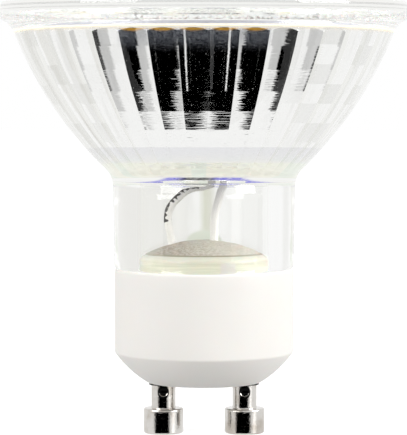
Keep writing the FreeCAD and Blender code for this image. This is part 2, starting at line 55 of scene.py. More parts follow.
class Value:
    # a node's output that can stand in an expression
    def __init__(self, tree, made, output=0):
        self.tree = tree
        self.made = made
        self.socket = None if output is None else made.outputs[output]

    def out(self, output):
        return Value(self.tree, self.made, output)

    __add__ = operator("ADD")
    __radd__ = operator("ADD")
    __sub__ = operator("SUBTRACT")
    __rsub__ = operator("SUBTRACT", swapped=True)
    __mul__ = operator("MULTIPLY")
    __rmul__ = operator("MULTIPLY")
    __truediv__ = operator("DIVIDE")
    __rtruediv__ = operator("DIVIDE", swapped=True)
    __pow__ = operator("POWER")
    __gt__ = operator("GREATER_THAN")
    __lt__ = operator("LESS_THAN")

    def __neg__(self):
        return self * -1.0

    def __abs__(self):
        return self.tree.math("ABSOLUTE", self)


class Tree:
    def __init__(self, nodeTree):
        self.nodeTree = nodeTree

    def node(self, kind, settings=None, inputs=None, output=0):
        made = self.nodeTree.nodes.new(kind)
        for name, value in (settings or {}).items():
            if name == "stops":
                self.fillRamp(made.color_ramp, value)
            else:
                setattr(made, name, value)
        for name, value in (inputs or {}).items():
            socket = made.inputs[name]
            if isinstance(value, Value):
                self.nodeTree.links.new(value.socket, socket)
            elif socket.type == "RGBA" and len(value) == 3:
                socket.default_value = (*value, 1.0)
            else:
                socket.default_value = value
        return Value(self, made, output)

    def fillRamp(self, ramp, stops):
        while len(ramp.elements) < len(stops):
            ramp.elements.new(1.0)
        for element, (place, colour) in zip(ramp.elements, stops):
            element.position = place
            element.color = (*colour, 1.0)

    def math(self, operation, *values):
        return self.node("ShaderNodeMath", {"operation": operation}, dict(enumerate(values)))

    def split(self, vector):
        parts = self.node("ShaderNodeSeparateXYZ", {}, {0: vector})
        return parts, parts.out(1), parts.out(2)

    def join(self, x, y, z):
        return self.node("ShaderNodeCombineXYZ", {}, {0: x, 1: y, 2: z})

    def noise(self, vector, scale, detail=2.0, roughness=0.5):
        sizes = {"Vector": vector, "Scale": scale, "Detail": detail, "Roughness": roughness}
        return self.node("ShaderNodeTexNoise", {}, sizes)

    def smooth(self, value, low, high, first=0.0, last=1.0):
        sizes = {0: value, 1: low, 2: high, 3: first, 4: last}
        return self.node("ShaderNodeMapRange", {"interpolation_type": "SMOOTHSTEP"}, sizes)


class Finish(Tree):
    # a material and its nodes
    def __init__(self, name):
        self.material = bpy.data.materials.new(name)
        self.material.use_nodes = True
        super().__init__(self.material.node_tree)
        self.nodeTree.nodes.clear()
        self.place = self.node("ShaderNodeTexCoord", output="Object")

    def spot(self):
        # x, y and z in millimetres
        return [part / mm for part in self.split(self.place)]

    def length(self, one, two):
        return self.math("SQRT", one * one + two * two)

    def grain(self, scale, detail=2.0, roughness=0.5):
        return self.noise(self.place, scale, detail, roughness)

    def stretched(self, across, up):
        return self.node("ShaderNodeMapping", {}, {"Vector": self.place, "Scale": (across, across, up)})

    def mix(self, factor, first, second):
        return self.node("ShaderNodeMix", {"data_type": "RGBA"}, {0: factor, 6: first, 7: second}, output=2)

    def ramp(self, value, *stops):
        return self.node("ShaderNodeValToRGB", {"stops": stops}, {0: value})

    def principled(self, bump=None, **sockets):
        # bump is a height with its strength and distance
        inputs = {}
        for name, value in sockets.items():
            words = "".join(" " + letter if letter.isupper() else letter for letter in name).strip()
            inputs[words.title().replace("Ior", "IOR")] = value
        if bump:
            sizes = dict(zip(("Height", "Strength", "Distance"), bump))
            inputs["Normal"] = self.node("ShaderNodeBump", {}, sizes)
        return self.node("ShaderNodeBsdfPrincipled", {}, inputs)

    def glowing(self, colour):
        # a plain tone of its own, whatever the light
        return self.principled(
            baseColor=(0.0, 0.0, 0.0), roughness=1.0, specularIorLevel=0.0, emissionColor=colour,
            emissionStrength=1.0
        )

    def lamp(self, strength):
        return self.node("ShaderNodeEmission", {}, {"Color": (1, 1, 1), "Strength": strength})

    def blendShaders(self, factor, first, second):
        return self.node("ShaderNodeMixShader", {}, {0: factor, 1: first, 2: second})

    def done(self, shader):
        self.node("ShaderNodeOutputMaterial", {}, {"Surface": shader}, output=None)
        return self.material

    def plain(self, **sockets):
        return self.done(self.principled(**sockets))

    def letThrough(self, shader, tint):
        # clear for the light that falls through, so that glass throws only a faint shadow
        shadow = self.node("ShaderNodeLightPath", output="Is Shadow Ray")
        clear = self.node("ShaderNodeBsdfTransparent", {}, {0: tint})
        return self.done(self.blendShaders(shadow, shader, clear))


class Layout(Tree):
    # a Geometry Nodes tree with named inputs
    def __init__(self, name, inputs):
        super().__init__(bpy.data.node_groups.new(name, "GeometryNodeTree"))
        face = self.nodeTree.interface
        face.new_socket("Geometry", in_out="INPUT", socket_type="NodeSocketGeometry")
        face.new_socket("Geometry", in_out="OUTPUT", socket_type="NodeSocketGeometry")
        self.identifiers = {}
        for title, kind in inputs.items():
            socket = face.new_socket(title, in_out="INPUT", socket_type="NodeSocket" + kind)
            self.identifiers[title] = socket.identifier
        self.given = self.node("NodeGroupInput")

    def attribute(self, name):
        return self.node("GeometryNodeInputNamedAttribute", {"data_type": "FLOAT"}, {"Name": name})

    def stored(self, geometry, name, value):
        settings = {"data_type": "FLOAT", "domain": "POINT"}
        inputs = {"Geometry": geometry, "Name": name, "Value": value}
        return self.node("GeometryNodeStoreNamedAttribute", settings, inputs)

    def moved(self, geometry, spot):
        return self.node("GeometryNodeSetPosition", {}, {"Geometry": geometry, "Position": spot})

    def close(self, geometry, material, *others):
        # one material for all, then others where their selection holds
        whole = self.node("GeometryNodeRealizeInstances", {}, {0: geometry})
        painted = self.node("GeometryNodeSetMaterial", {}, {"Geometry": whole, "Material": material})
        for selection, other in others:
            inputs = {"Geometry": painted, "Selection": selection, "Material": other}
            painted = self.node("GeometryNodeSetMaterial", {}, inputs)
        self.node("NodeGroupOutput", {}, {0: painted}, output=None)


def worked(piece):
    # the piece's modifiers worked into its mesh, and gone
    bpy.context.view_layer.update()
    evaluated = piece.evaluated_get(bpy.context.evaluated_depsgraph_get())
    mesh = bpy.data.meshes.new_from_object(evaluated)
    piece.modifiers.clear()
    piece.data = mesh
    mesh.name = piece.name
    return piece


def grown(piece, layout, values):
    # the layout's result as a plain mesh
    modifier = piece.modifiers.new(layout.nodeTree.name, "NODES")
    modifier.node_group = layout.nodeTree
    for title, value in values.items():
        modifier[layout.identifiers[title]] = value
    return worked(piece)


# Mesh helpers
sharpAngle = math.radians(32)


def addPiece(name, mesh, *materials):
    piece = bpy.data.objects.new(name, mesh)
    scene.collection.objects.link(piece)
    for material in materials:
        mesh.materials.append(material)
    return piece


def arcThrough(start, middle, end, steps):
    # points of the arc from start to end, without its first point
    ax, ay, bx, by, cx, cy = (*start, *middle, *end)
    area = 2 * (ax * (by - cy) + bx * (cy - ay) + cx * (ay - by))
    a2, b2, c2 = ax * ax + ay * ay, bx * bx + by * by, cx * cx + cy * cy
    ux = (a2 * (by - cy) + b2 * (cy - ay) + c2 * (ay - by)) / area
    uy = (a2 * (cx - bx) + b2 * (ax - cx) + c2 * (bx - ax)) / area
    radius = math.hypot(ax - ux, ay - uy)
    first = math.atan2(ay - uy, ax - ux)
    turn = (math.atan2(cy - uy, cx - ux) - first + math.pi) % (2 * math.pi) - math.pi
    angles = [first + turn * i / steps for i in range(1, steps + 1)]
    return [(ux + radius * math.cos(a), uy + radius * math.sin(a)) for a in angles]


def bulged(start, end, bulge):
    # the middle of a straight run, pushed out to its side
    run = math.hypot(end[0] - start[0], end[1] - start[1])
    side = ((end[1] - start[1]) / run, -(end[0] - start[0]) / run)
    return tuple((start[i] + end[i]) / 2 + bulge * side[i] for i in (0, 1))


def rounded(corner, before, after, radius, steps=5):
    # a corner of an outline turned into an arc with that radius
    back = Vector((before[0] - corner[0], before[1] - corner[1])).normalized()
    ahead = Vector((after[0] - corner[0], after[1] - corner[1])).normalized()
    half = back.angle(ahead) / 2
    reach = radius / math.tan(half)
    start, end = Vector(corner) + back * reach, Vector(corner) + ahead * reach
    middle = Vector(corner) + (back + ahead).normalized() * (radius / math.sin(half) - radius)
    return [tuple(start)] + arcThrough(tuple(start), tuple(middle), tuple(end), steps)


def softened(outline, radius, steps=5):
    # every corner of an outline that runs from axis to axis, rounded
    points = [outline[0]]
    for before, corner, after in zip(outline, outline[1:], outline[2:]):
        points.extend(rounded(corner, before, after, radius, steps))
    return points + [outline[-1]]


def between(start, end, steps):
    # points along a straight run, without its first point
    return [tuple(start[k] + (end[k] - start[k]) * i / steps for k in (0, 1)) for i in range(1, steps + 1)]


def supported(outline):
    # a ring close inside the edge of each flat end, so that its shading stays flat
    points = [outline[0]]
    for before, after in zip(outline, outline[1:]):
        outer = max(before[0], after[0])
        if min(before[0], after[0]) < 1e-6 and outer > 0.5 and abs(before[1] - after[1]) < 1e-6:
            points.append((outer * 0.985, before[1]))
        points.append(after)
    return points


def joinRings(build, rings):
    # faces between each ring of verts and the next; a ring of one vert is a pole
    for low, high in zip(rings, rings[1:]):
        count = max(len(low), len(high))
        for i in range(count if count > 1 else 0):
            j = (i + 1) % count
            if len(low) == 1:
                build.faces.new((low[0], high[j], high[i]))
            elif len(high) == 1:
                build.faces.new((low[i], low[j], high[0]))
            else:
                build.faces.new((low[i], low[j], high[j], high[i]))


def turnedMesh(name, outline, columns, closed=False, centre=(0.0, 0.0)):
    # an outline of (radius, height) turned about an upright axis; a radius of 0 is a pole
    outline = supported(outline)
    build = bmesh.new()
    rings = []
    for radius, height in outline:
        if radius < 1e-6:
            rings.append([build.verts.new((centre[0] * mm, centre[1] * mm, height * mm))])
            continue
        ring = []
        for column in range(columns):
            angle = 2 * math.pi * column / columns
            x, y = centre[0] + radius * math.sin(angle), centre[1] - radius * math.cos(angle)
            ring.append(build.verts.new((x * mm, y * mm, height * mm)))
        rings.append(ring)
    joinRings(build, rings + rings[:1] if closed else rings)
    return meshFrom(build, name)


def meshFrom(build, name, sharp=sharpAngle):
    bmesh.ops.recalc_face_normals(build, faces=build.faces)
    mesh = bpy.data.meshes.new(name)
    build.to_mesh(mesh)
    build.free()
    mesh.shade_smooth()
    if sharp:
        mesh.set_sharp_from_angle(angle=sharp)
    return mesh


def carve(piece, cutters):
    # cutters are taken out of a piece and then removed
    for cutter in cutters:
        modifier = piece.modifiers.new("carve", "BOOLEAN")
        modifier.object = cutter
        modifier.operation = "DIFFERENCE"
        modifier.solver = "EXACT"
    worked(piece)
    for cutter in cutters:
        bpy.data.objects.remove(cutter)
    piece.data.set_sharp_from_angle(angle=sharpAngle)


def place(piece, node, slot):
    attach(piece, "root")
    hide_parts(node)


def disc(radius, bottom, top):
    # outline of a plain disc, from axis to axis
    return [(0, bottom), (radius, bottom), (radius, top), (0, top)]


# Camera: where the photograph was taken from
view = {"distance": 308.0, "height": 44.9, "aim": 26.6, "across": -0.06, "lens": 207.7}


def aimed(spot, target):
    # standing at a spot and looking at a target
    turn = (Vector(target) - Vector(spot)).to_track_quat("-Z", "Y").to_matrix().to_4x4()
    return Matrix.Translation(spot) @ turn


def addCamera():
    data = bpy.data.cameras.new("camera")
    data.lens = view["lens"]
    data.sensor_width = 36.0
    data.clip_start = 0.01
    camera = bpy.data.objects.new("camera", data)
    scene.collection.objects.link(camera)
    eye = view["across"] * mm, -view["distance"] * mm, view["height"] * mm
    camera.matrix_world = aimed(eye, (view["across"] * mm, 0.0, view["aim"] * mm))
    scene.camera = camera


addCamera()
scene.view_settings.view_transform = "Standard"
scene.cycles.max_bounces = 24
scene.cycles.transmission_bounces = 24
scene.cycles.glossy_bounces = 14
scene.cycles.transparent_max_bounces = 24
print("camera placed")


# Clear glass and the mirror film inside the bowl
glassFinish = {
    "tint": (0.993, 0.995, 0.986), "ripple": 0.05, "rippleSize": 900.0,
    "frost": 2.2, "frostFoot": 50.95, "frostTop": 51.75, "frostRadius": 23.9,
    "lineHeights": (52.02, 52.40, 52.52), "lineWidth": 0.035, "lineTone": (0.45, 0.45, 0.45),
    "roughMiddle": 2.5, "roughSpan": (9.0, 13.0),
}


def glassBodyFinish():
    # clear glass with faint waves, mould lines round the rim and a band under it with a fine rough skin
    g = glassFinish
    finish = Finish("clear_glass")
    x, y, height = finish.spot()
    outer = finish.length(x, y) > g["frostRadius"]
    waves = finish.noise(finish.stretched(1.0, 0.35), g["rippleSize"], 3.0) * g["ripple"]
    band = finish.smooth(height, g["frostFoot"], g["frostFoot"] + 0.2)
    band = band * finish.smooth(height, g["frostTop"] - 0.2, g["frostTop"], 1.0, 0.0)
    band = band * outer * finish.smooth(finish.grain(160.0), 0.35, 0.6)
    band = band * finish.smooth(abs(x - g["roughMiddle"]), *g["roughSpan"], 1.0, 0.1)
    lines = 0.0
    for line in g["lineHeights"]:
        lines = finish.math("COMPARE", height, line, g["lineWidth"]) + lines
    skin = finish.grain(3200.0, 3.0, 0.7) * band * g["frost"]
    glass = finish.principled(
        baseColor=finish.mix(lines * outer, g["tint"], g["lineTone"]), roughness=0.0, ior=1.5,
        transmissionWeight=1.0, bump=(waves + skin, 1.0, 0.0001)
    )
    return finish.letThrough(glass, g["tint"])


mirrorFilm = {
    "silver": (0.95, 0.95, 0.945), "grey": (0.83, 0.83, 0.85), "green": (0.86, 0.89, 0.80),
    "cream": (0.95, 0.90, 0.80), "dull": (0.74, 0.74, 0.72), "pale": (0.90, 0.90, 0.88),
    "toneFoot": 30.0, "toneTop": 52.0, "tier": 2.25, "throatFoot": 49.86,
    "milk": (0.80, 0.85, 0.77), "milkWarm": (0.90, 0.88, 0.78), "milkTop": 35.6, "milkFoot": 33.0,
    "violet": (0.20, 0.19, 0.72), "navy": (0.03, 0.03, 0.22), "black": (0.01, 0.01, 0.012),
    "blackLight": (0.015, 0.015, 0.02), "floorSpan": 4.6, "floorHeight": 32.9, "floorRadius": 8.1,
    "slate": (0.40, 0.42, 0.47), "slateDark": (0.08, 0.09, 0.12), "slateFoot": 46.9, "slateTop": 49.25,
    "amber": (0.86, 0.44, 0.045), "amberShare": 0.62, "amberTop": 49.7, "amberMiddle": -1.1,
    "amberSpan": (8.3, 8.8), "archDrop": -0.35, "haze": 0.34, "dust": 0.4,
    "rimReach": 2.05, "rimFoot": 49.0, "rimNear": 0.9,
    "roughness": 0.015, "grainRoughness": 0.03, "grainLength": 2.2, "grainHeight": 0.13,
    "grainDepth": 0.000008, "streakLength": 0.05, "streaks": 14.0, "mirroredGreySpan": (7.0, 13.0),
    "firstPane": 100.0,
}


def wallTone(finish, height):
    # the film's tone changes from band to band
    m = mirrorFilm
    stop = lambda level: (level - m["toneFoot"]) / (m["toneTop"] - m["toneFoot"])
    levels = bandLevels(glassBody)
    changes = [(levels[7], "green", "grey"), (levels[6], "grey", "silver")]
    changes.append((m["throatFoot"], "silver", "cream"))
    stops = []
    for level, under, above in changes:
        stops += [(stop(level) - 0.004, m[under]), (stop(level), m[above])]
    return finish.ramp(stop(height), *stops)


def fadedFilm(finish, flute, grain, x, height):
    # near its upper end the film gets a slate haze, painted light over what it mirrors, and then an amber
    # edge, a painted glow of light let through from inside; specks of dust lie on it everywhere. Gives the
    # share of the haze, and the haze
    m = mirrorFilm
    fleck = finish.grain(4200.0, 2.0, 0.7)
    slate = finish.mix(finish.smooth(fleck, 0.36, 0.62), m["slateDark"], m["slate"])
    aside = (flute - finish.math("FLOOR", flute) - 0.5) * 2.0
    risen = height + aside * aside * m["archDrop"]
    gold = finish.smooth(risen + (fleck - 0.5) * 0.3, m["slateTop"], m["amberTop"])
    share = finish.smooth(height + (grain - 0.5) * 0.5, m["slateFoot"], m["slateTop"], 0.0, m["haze"])
    share = share + gold * (m["amberShare"] - m["haze"])
    share = share * finish.smooth(height, m["throatFoot"] - 0.06, m["throatFoot"], 1.0, 0.0)
    share = share * finish.smooth(abs(x - m["amberMiddle"]), *m["amberSpan"], 1.0, 0.04)
    dust = finish.smooth(finish.grain(6500.0, 0.0), 0.785, 0.83)
    colour = finish.mix(dust, finish.mix(gold, slate, m["amber"]), m["pale"])
    haze = finish.principled(baseColor=colour, roughness=1.0, specularIorLevel=0.0)
    return finish.math("MAXIMUM", share, dust * m["dust"]), haze


def floorFilm(finish, x):
    # the film on the bowl's floor glows by itself, painted light: violet, pale at its sides and near black
    # in the middle, a painted shadow of the leads
    m = mirrorFilm
    speck = finish.grain(4400.0, 3.0, 0.8)
    tones = finish.ramp(
        x / (2 * m["floorSpan"]) + 0.5 + (speck - 0.5) * 0.3,
        (0.02, m["pale"]), (0.08, m["violet"]), (0.18, m["violet"]), (0.25, m["navy"]), (0.30, m["black"]),
        (0.56, m["blackLight"]), (0.64, m["violet"]), (0.90, m["violet"]), (0.98, m["pale"]),
    )
    return finish.glowing(finish.mix(finish.smooth(speck, 0.52, 0.60), tones, m["pale"]))


def mirrorFinish():
    # bright metal with a fine grain that lies along the bands
    m = mirrorFilm
    finish = Finish("mirror_film")
    x, y, height = finish.spot()
    grain = finish.noise(finish.stretched(1.0 / m["grainLength"], 1.0 / m["grainHeight"]), 1000.0, 1.0)
    # the fluted panes differ a little in tone towards the bowl's sides, a painted reflection of different
    # parts of a room
    turn = finish.math("ARCTAN2", x, -y) - math.radians(glassBody["phase"])
    flute = turn * (glassBody["flutes"] / (2 * math.pi)) + m["firstPane"]
    tier = finish.math("FLOOR", (height - m["toneFoot"]) / m["tier"])
    pane = finish.join(finish.math("FLOOR", flute), tier, 0.0)
    odd = finish.node("ShaderNodeTexWhiteNoise", {"noise_dimensions": "2D"}, {"Vector": pane})
    streaks = finish.noise(finish.join(turn * m["streaks"], height * m["streakLength"], 0.0), 1.0)
    uneven = finish.math("MAXIMUM", finish.smooth(odd, 0.55, 0.9), finish.smooth(streaks, 0.5, 0.62))
    dull = finish.smooth(abs(x), *m["mirroredGreySpan"]) * uneven * 0.5
    metal = finish.principled(
        baseColor=finish.mix(dull, wallTone(finish, height), m["dull"]), metallic=1.0,
        roughness=m["roughness"] + grain * m["grainRoughness"], bump=(grain, 1.0, m["grainDepth"])
    )
    # painted slate haze and amber glow near the film's upper end, with its specks of dust
    share, haze = fadedFilm(finish, flute, grain, x, height)
    # mirrored once more, from the rim or from across the bowl, the film shows a plain pale glow: painted
    # light in place of its reflection
    path = finish.node("ShaderNodeLightPath")
    once = finish.math("COMPARE", path.out("Glossy Depth"), 1.0, 0.5)
    reach = m["rimReach"] - (height > m["rimFoot"]) * (m["rimReach"] - m["rimNear"])
    fromRim = (path.out("Glossy Depth") > 1.5) * (path.out("Ray Length") / mm > reach)
    again = finish.math("MAXIMUM", once, fromRim)
    seen = finish.blendShaders(again, finish.blendShaders(share, metal, haze), finish.glowing(m["pale"]))
    # low in the bowl the film glows in a pale green to warm tone: painted light in place of what it mirrors
    # there
    lowGlowTone = finish.mix(finish.smooth(odd, 0.2, 0.8), m["milk"], m["milkWarm"])
    milk = finish.smooth(height, m["milkFoot"], m["milkTop"], 0.8, 0.0)
    seen = finish.blendShaders(milk, seen, finish.glowing(lowGlowTone))
    isFloor = (finish.length(x, y) < m["floorRadius"]) * (height < m["floorHeight"])
    return finish.done(finish.blendShaders(isFloor, seen, floorFilm(finish, x)))


def bondFinish():
    # pale bond between the glass and the board above it; it also glows in its own colour, painted light that
    # lifts its shaded underside
    finish = Finish("board_bond")
    colour = finish.mix(finish.grain(900.0, 3.0), (0.90, 0.87, 0.80), (0.96, 0.94, 0.89))
    return finish.plain(baseColor=colour, roughness=0.5, emissionColor=colour, emissionStrength=0.6)


# Glass body: rim, bowl and neck in one pressing, with the fluted and banded inside of the bowl
glassBody = {
    "rimRadius": 25.0, "rimTop": 53.0, "rimBottom": 51.5, "rimRound": 0.45,
    "coverRecess": 23.55, "boardRecess": 22.45, "sealantSeat": 51.7, "boardSeat": 50.3,
    "bowlTopRadius": 23.35, "bowlTop": 49.6, "bowlArc": 47.0, "lipHollow": 0.45, "lipBulge": 0.28,
    "neckTopRadius": 11.25, "neckTop": 31.8, "neckFillet": 3.0,
    "neckBottomRadius": 11.05, "neckBottom": 20.4, "neckBottomRound": 0.35,
    "spigotRadius": 9.5, "spigotBottom": 17.0, "cavityRadius": 8.0, "cavityTop": 31.5, "cavityRound": 0.2,
    "spigotRound": 0.3, "webRound": 0.2, "webHole": 3.4, "bowlFloor": 32.6, "bowlWall": 1.5,
    "flutes": 39, "columnsPerFlute": 12, "bands": 8, "bandShrink": 0.93, "bandTop": 50.6,
    "archTop": 49.85, "turn": 7.2, "phase": 1.4,
}


def bowlCentre(g):
    # centre of the outer arc through the bowl's top edge and the neck's corner
    chord = math.hypot(g["bowlTopRadius"] - g["neckTopRadius"], g["bowlTop"] - g["neckTop"])
    lean = math.atan2(g["bowlTop"] - g["neckTop"], g["bowlTopRadius"] - g["neckTopRadius"])
    depth = math.sqrt(g["bowlArc"] ** 2 - (chord / 2) ** 2)
    radius = (g["bowlTopRadius"] + g["neckTopRadius"]) / 2 - depth * math.sin(lean)
    return radius, (g["bowlTop"] + g["neckTop"]) / 2 + depth * math.cos(lean)


def bandLevels(g):
    # heights between the bands from the top down, each band a little lower than the one above
    first = (g["bandTop"] - g["bowlFloor"]) * (1 - g["bandShrink"]) / (1 - g["bandShrink"] ** g["bands"])
    levels = [g["bandTop"]]
    for i in range(g["bands"]):
        levels.append(levels[-1] - first * g["bandShrink"] ** i)
    return levels


def glassOutside(g, centre):
    # from the rim's inner top edge down the outside to the foot of the neck
    rim = g["rimRadius"], g["rimBottom"]
    lipStart = g["bowlTopRadius"], g["bowlTop"]
    hollow = tuple(lipStart[k] + (rim[k] - lipStart[k]) * g["lipHollow"] for k in (0, 1))
    points = [(g["coverRecess"], g["rimTop"])]
    top = g["rimRadius"], g["rimTop"]
    points += rounded(top, points[0], rim, g["rimRound"], 7)
    points += between(points[-1], rim, 3)
    points += arcThrough(rim, bulged(hollow, rim, g["lipBulge"]), hollow, 8)
    points += between(hollow, lipStart, 2)
    foot = Vector((g["neckBottomRadius"], g["neckBottom"]))
    up = (Vector((g["neckTopRadius"], g["neckTop"])) - foot).normalized()
    out = Vector((up.y, -up.x))
    reach = foot + out * g["neckFillet"] - Vector(centre)
    along = reach.dot(up)
    free = along ** 2 - reach.length_squared + (g["bowlArc"] + g["neckFillet"]) ** 2
    # of the two fillets that touch both lines, the lower one
    filletCentre = foot + out * g["neckFillet"] + up * (-along - math.sqrt(free))
    share = g["bowlArc"] / (g["bowlArc"] + g["neckFillet"])
    bowlEnd = Vector(centre) + (filletCentre - Vector(centre)) * share
    neckStart = filletCentre - out * g["neckFillet"]
    first = math.atan2(lipStart[1] - centre[1], lipStart[0] - centre[0])
    last = math.atan2(bowlEnd.y - centre[1], bowlEnd.x - centre[0])
    for i in range(1, 29):
        angle = first + (last - first) * i / 28
        across, up = math.cos(angle), math.sin(angle)
        points.append((centre[0] + g["bowlArc"] * across, centre[1] + g["bowlArc"] * up))
    towards = (filletCentre * 2 - bowlEnd - neckStart).normalized()
    middle = filletCentre - towards * g["neckFillet"]
    points += arcThrough(tuple(bowlEnd), tuple(middle), tuple(neckStart), 10)
    corner = g["neckBottomRadius"], g["neckBottom"]
    step = g["spigotRadius"], g["neckBottom"]
    foot = rounded(corner, tuple(neckStart), step, g["neckBottomRound"], 5)
    points += between(tuple(neckStart), foot[0], 6) + foot[1:]
    return points


def glassOutline(g, centre):
    # (radius, height, what the ring is) once round the section
    outside = [(*point, "smooth") for point in glassOutside(g, centre)]
    cavity, mouth = (g["cavityRadius"], g["cavityTop"]), (g["cavityRadius"], g["spigotBottom"])
    web, webTop = (g["webHole"], g["cavityTop"]), (g["webHole"], g["bowlFloor"])
    spigot = g["spigotRadius"], g["spigotBottom"]
    inside = [(g["spigotRadius"], g["neckBottom"])]
    inside += rounded(spigot, inside[0], mouth, g["spigotRound"], 3)
    inside += rounded(mouth, spigot, cavity, g["spigotRound"], 3)
    top = rounded(cavity, mouth, web, g["cavityRound"], 6)
    inside += between(inside[-1], top[0], 4) + top[1:]
    inside += rounded(web, cavity, webTop, g["webRound"], 3)
    inside += rounded(webTop, web, (g["cavityRadius"] + 1.0, g["bowlFloor"]), g["webRound"], 3)
    inside = [(*point, "smooth") for point in inside]
    inner = g["bowlArc"] - g["bowlWall"]
    wallRadius = lambda z: centre[0] + math.sqrt(inner ** 2 - (z - centre[1]) ** 2)
    levels = bandLevels(g)
    bands = [(wallRadius(z), z, "band") for z in reversed(levels[1:])]
    pitch = math.pi / g["flutes"]
    crown = math.cos(pitch) - math.sin(pitch) * math.tan(math.radians(g["turn"]) / 2)
    throat = wallRadius(g["archTop"]) * crown
    top = [
        (throat, g["archTop"], "arch"), (throat, g["boardSeat"], "ledge"),
        (g["boardRecess"], g["boardSeat"], "corner"), (g["boardRecess"], g["sealantSeat"], "corner"),
        (g["coverRecess"], g["sealantSeat"], "corner"),
    ]
    sizes = {"Throat Radius": throat * mm}
    for title, level in (("Low", levels[1]), ("High", levels[0])):
        sizes |= {title + " Radius": wallRadius(level) * mm, title + " Height": level * mm}
    return outside + inside + bands + top, sizes


def fluteLayout():
    # rings of the bands become flutes that bulge inwards: each flute is an arc between two cusps of the
    # ring. The throat's lower ring rises to arches, where the flutes run out into the round throat
    kinds = ("Low Radius", "Low Height", "High Radius", "High Height", "Throat Radius", "Turn", "Phase")
    inputs = {"Flutes": "Int"} | {title: "Float" for title in kinds}
    inputs |= {"Glass": "Material", "Film": "Material", "Bond": "Material"}
    layout = Layout("flutes", inputs)
    given = layout.given
    x, y, z = layout.split(layout.node("GeometryNodeInputPosition"))
    half = math.pi / given.out("Flutes")
    turn = given.out("Turn")
    angle = layout.math("ARCTAN2", x, -y) - given.out("Phase")
    local = layout.math("FLOORED_MODULO", angle, half * 2.0) - half
    chord = layout.math("SINE", half)
    arc = chord / layout.math("SINE", turn)
    crown = layout.math("COSINE", half) - chord * layout.math("TANGENT", turn / 2.0)
    centre = crown + arc
    side = centre * layout.math("SINE", local)
    share = centre * layout.math("COSINE", local) - layout.math("SQRT", arc * arc - side * side)
    lowR, lowZ = given.out("Low Radius"), given.out("Low Height")
    highR, highZ = given.out("High Radius"), given.out("High Height")
    up = (given.out("Throat Radius") / share - lowR) / (highR - lowR)
    archZ = lowZ + up * (highZ - lowZ)
    scaled = 1.0 + layout.attribute("band") * (share - 1.0)
    raised = z + layout.attribute("arch") * (archZ - z)
    shaped = layout.moved(given, layout.join(x * scaled, y * scaled, raised))
    film = layout.attribute("coated") > 0.5, given.out("Film")
    bond = layout.attribute("bonded") > 0.5, given.out("Bond")
    layout.close(shaped, given.out("Glass"), film, bond)
    return layout


def addGlassBody():
    g = glassBody
    outline, sizes = glassOutline(g, bowlCentre(g))
    columns = g["flutes"] * g["columnsPerFlute"]
    build = bmesh.new()
    band = build.verts.layers.float.new("band")
    arch = build.verts.layers.float.new("arch")
    coated = build.faces.layers.float.new("coated")
    bonded = build.faces.layers.float.new("bonded")
    rings = []
    for radius, height, kind in outline:
        ring = []
        for column in range(columns):
            angle = math.radians(g["phase"]) + 2 * math.pi * column / columns
            spot = radius * math.sin(angle) * mm, -radius * math.cos(angle) * mm, height * mm
            vert = build.verts.new(spot)
            vert[band] = kind == "band"
            vert[arch] = kind == "arch"
            ring.append(vert)
        rings.append(ring)
    for number, low in enumerate(rings):
        high = rings[(number + 1) % len(rings)]
        kinds = outline[number][2], outline[(number + 1) % len(rings)][2]
        isFilm = kinds[1] in ("band", "arch") or kinds[0] == "arch"
        for i in range(columns):
            j = (i + 1) % columns
            face = build.faces.new((low[i], low[j], high[j], high[i]))
            face[coated] = isFilm
            face[bonded] = kinds[0] == "ledge"
            if kinds[0] in ("band", "arch", "ledge", "corner") and kinds[1] != "smooth":
                build.edges.get((low[i], low[j])).smooth = False
            if kinds[0] == "band" and i % g["columnsPerFlute"] == 0:
                build.edges.get((low[i], high[i])).smooth = False
    piece = addPiece("glassBody", meshFrom(build, "glassBody", None))
    values = {"Flutes": g["flutes"], "Turn": math.radians(g["turn"]), "Phase": math.radians(g["phase"])}
    values |= {"Glass": glassBodyFinish(), "Film": mirrorFinish(), "Bond": bondFinish()}
    grown(piece, fluteLayout(), sizes | values)
    place(piece, "glass_body", "clear_glass")


addGlassBody()
print("glass body made")


# Front cover, and the uneven bead of sealant it is bedded on
frontCover = {"radius": 23.4, "bottom": 52.0, "top": 52.95, "chamfer": 0.15, "columns": 180}


def addFrontCover():
    c = frontCover
    outline = softened(disc(c["radius"], c["bottom"], c["top"]), c["chamfer"], 3)
    piece = addPiece("frontCover", turnedMesh("frontCover", outline, c["columns"]), coverMaterial)
    place(piece, "front_cover", "cover_glass")


rimSealant = {
    "innerRadius": 22.6, "outerRadius": 23.4, "bottom": 51.7, "top": 52.0,
    "skirtInner": 23.42, "skirtOuter": 23.53, "skirtTop": 52.7,
    "columns": 720, "lumps": 0.16, "lumpSize": 0.45,
}


def sealantLayout():
    kinds = {title: "Float" for title in ("Lumps", "Lump Size", "Top")}
    layout = Layout("bead", kinds | {"Material": "Material"})
    given = layout.given
    spot = layout.node("GeometryNodeInputPosition")
    x, y, z = layout.split(spot)
    uneven = layout.noise(spot, 1.0 / given.out("Lump Size"), 3.0, 0.6)
    lumps = layout.math("MAXIMUM", uneven - 0.4, 0.0) * given.out("Lumps")
    inward = 1.0 - lumps * (z < given.out("Top"))
    layout.close(layout.moved(given, layout.join(x * inward, y * inward, z)), given.out("Material"))
    return layout


def addSealant():
    r = rimSealant
    inner, outer, bottom, top = r["innerRadius"], r["outerRadius"], r["bottom"], r["top"]
    outline = [(inner, bottom)] + between((inner, bottom), (outer, bottom), 3)
    outline += [(r["skirtOuter"], top), (r["skirtOuter"], r["skirtTop"])]
    outline += [(r["skirtInner"], r["skirtTop"]), (r["skirtInner"], top + 0.01)]
    outline += between((outer, top), (inner, top), 3) + between((inner, top), (inner, bottom), 2)[:-1]
    piece = addPiece("rimSealant", turnedMesh("rimSealant", outline, r["columns"], closed=True))
    grown(piece, sealantLayout(), {
        "Lumps": r["lumps"], "Lump Size": r["lumpSize"] * mm, "Top": (top + 0.005) * mm,
        "Material": sealantMaterial,
    })
    place(piece, "rim_sealant", "silicone")


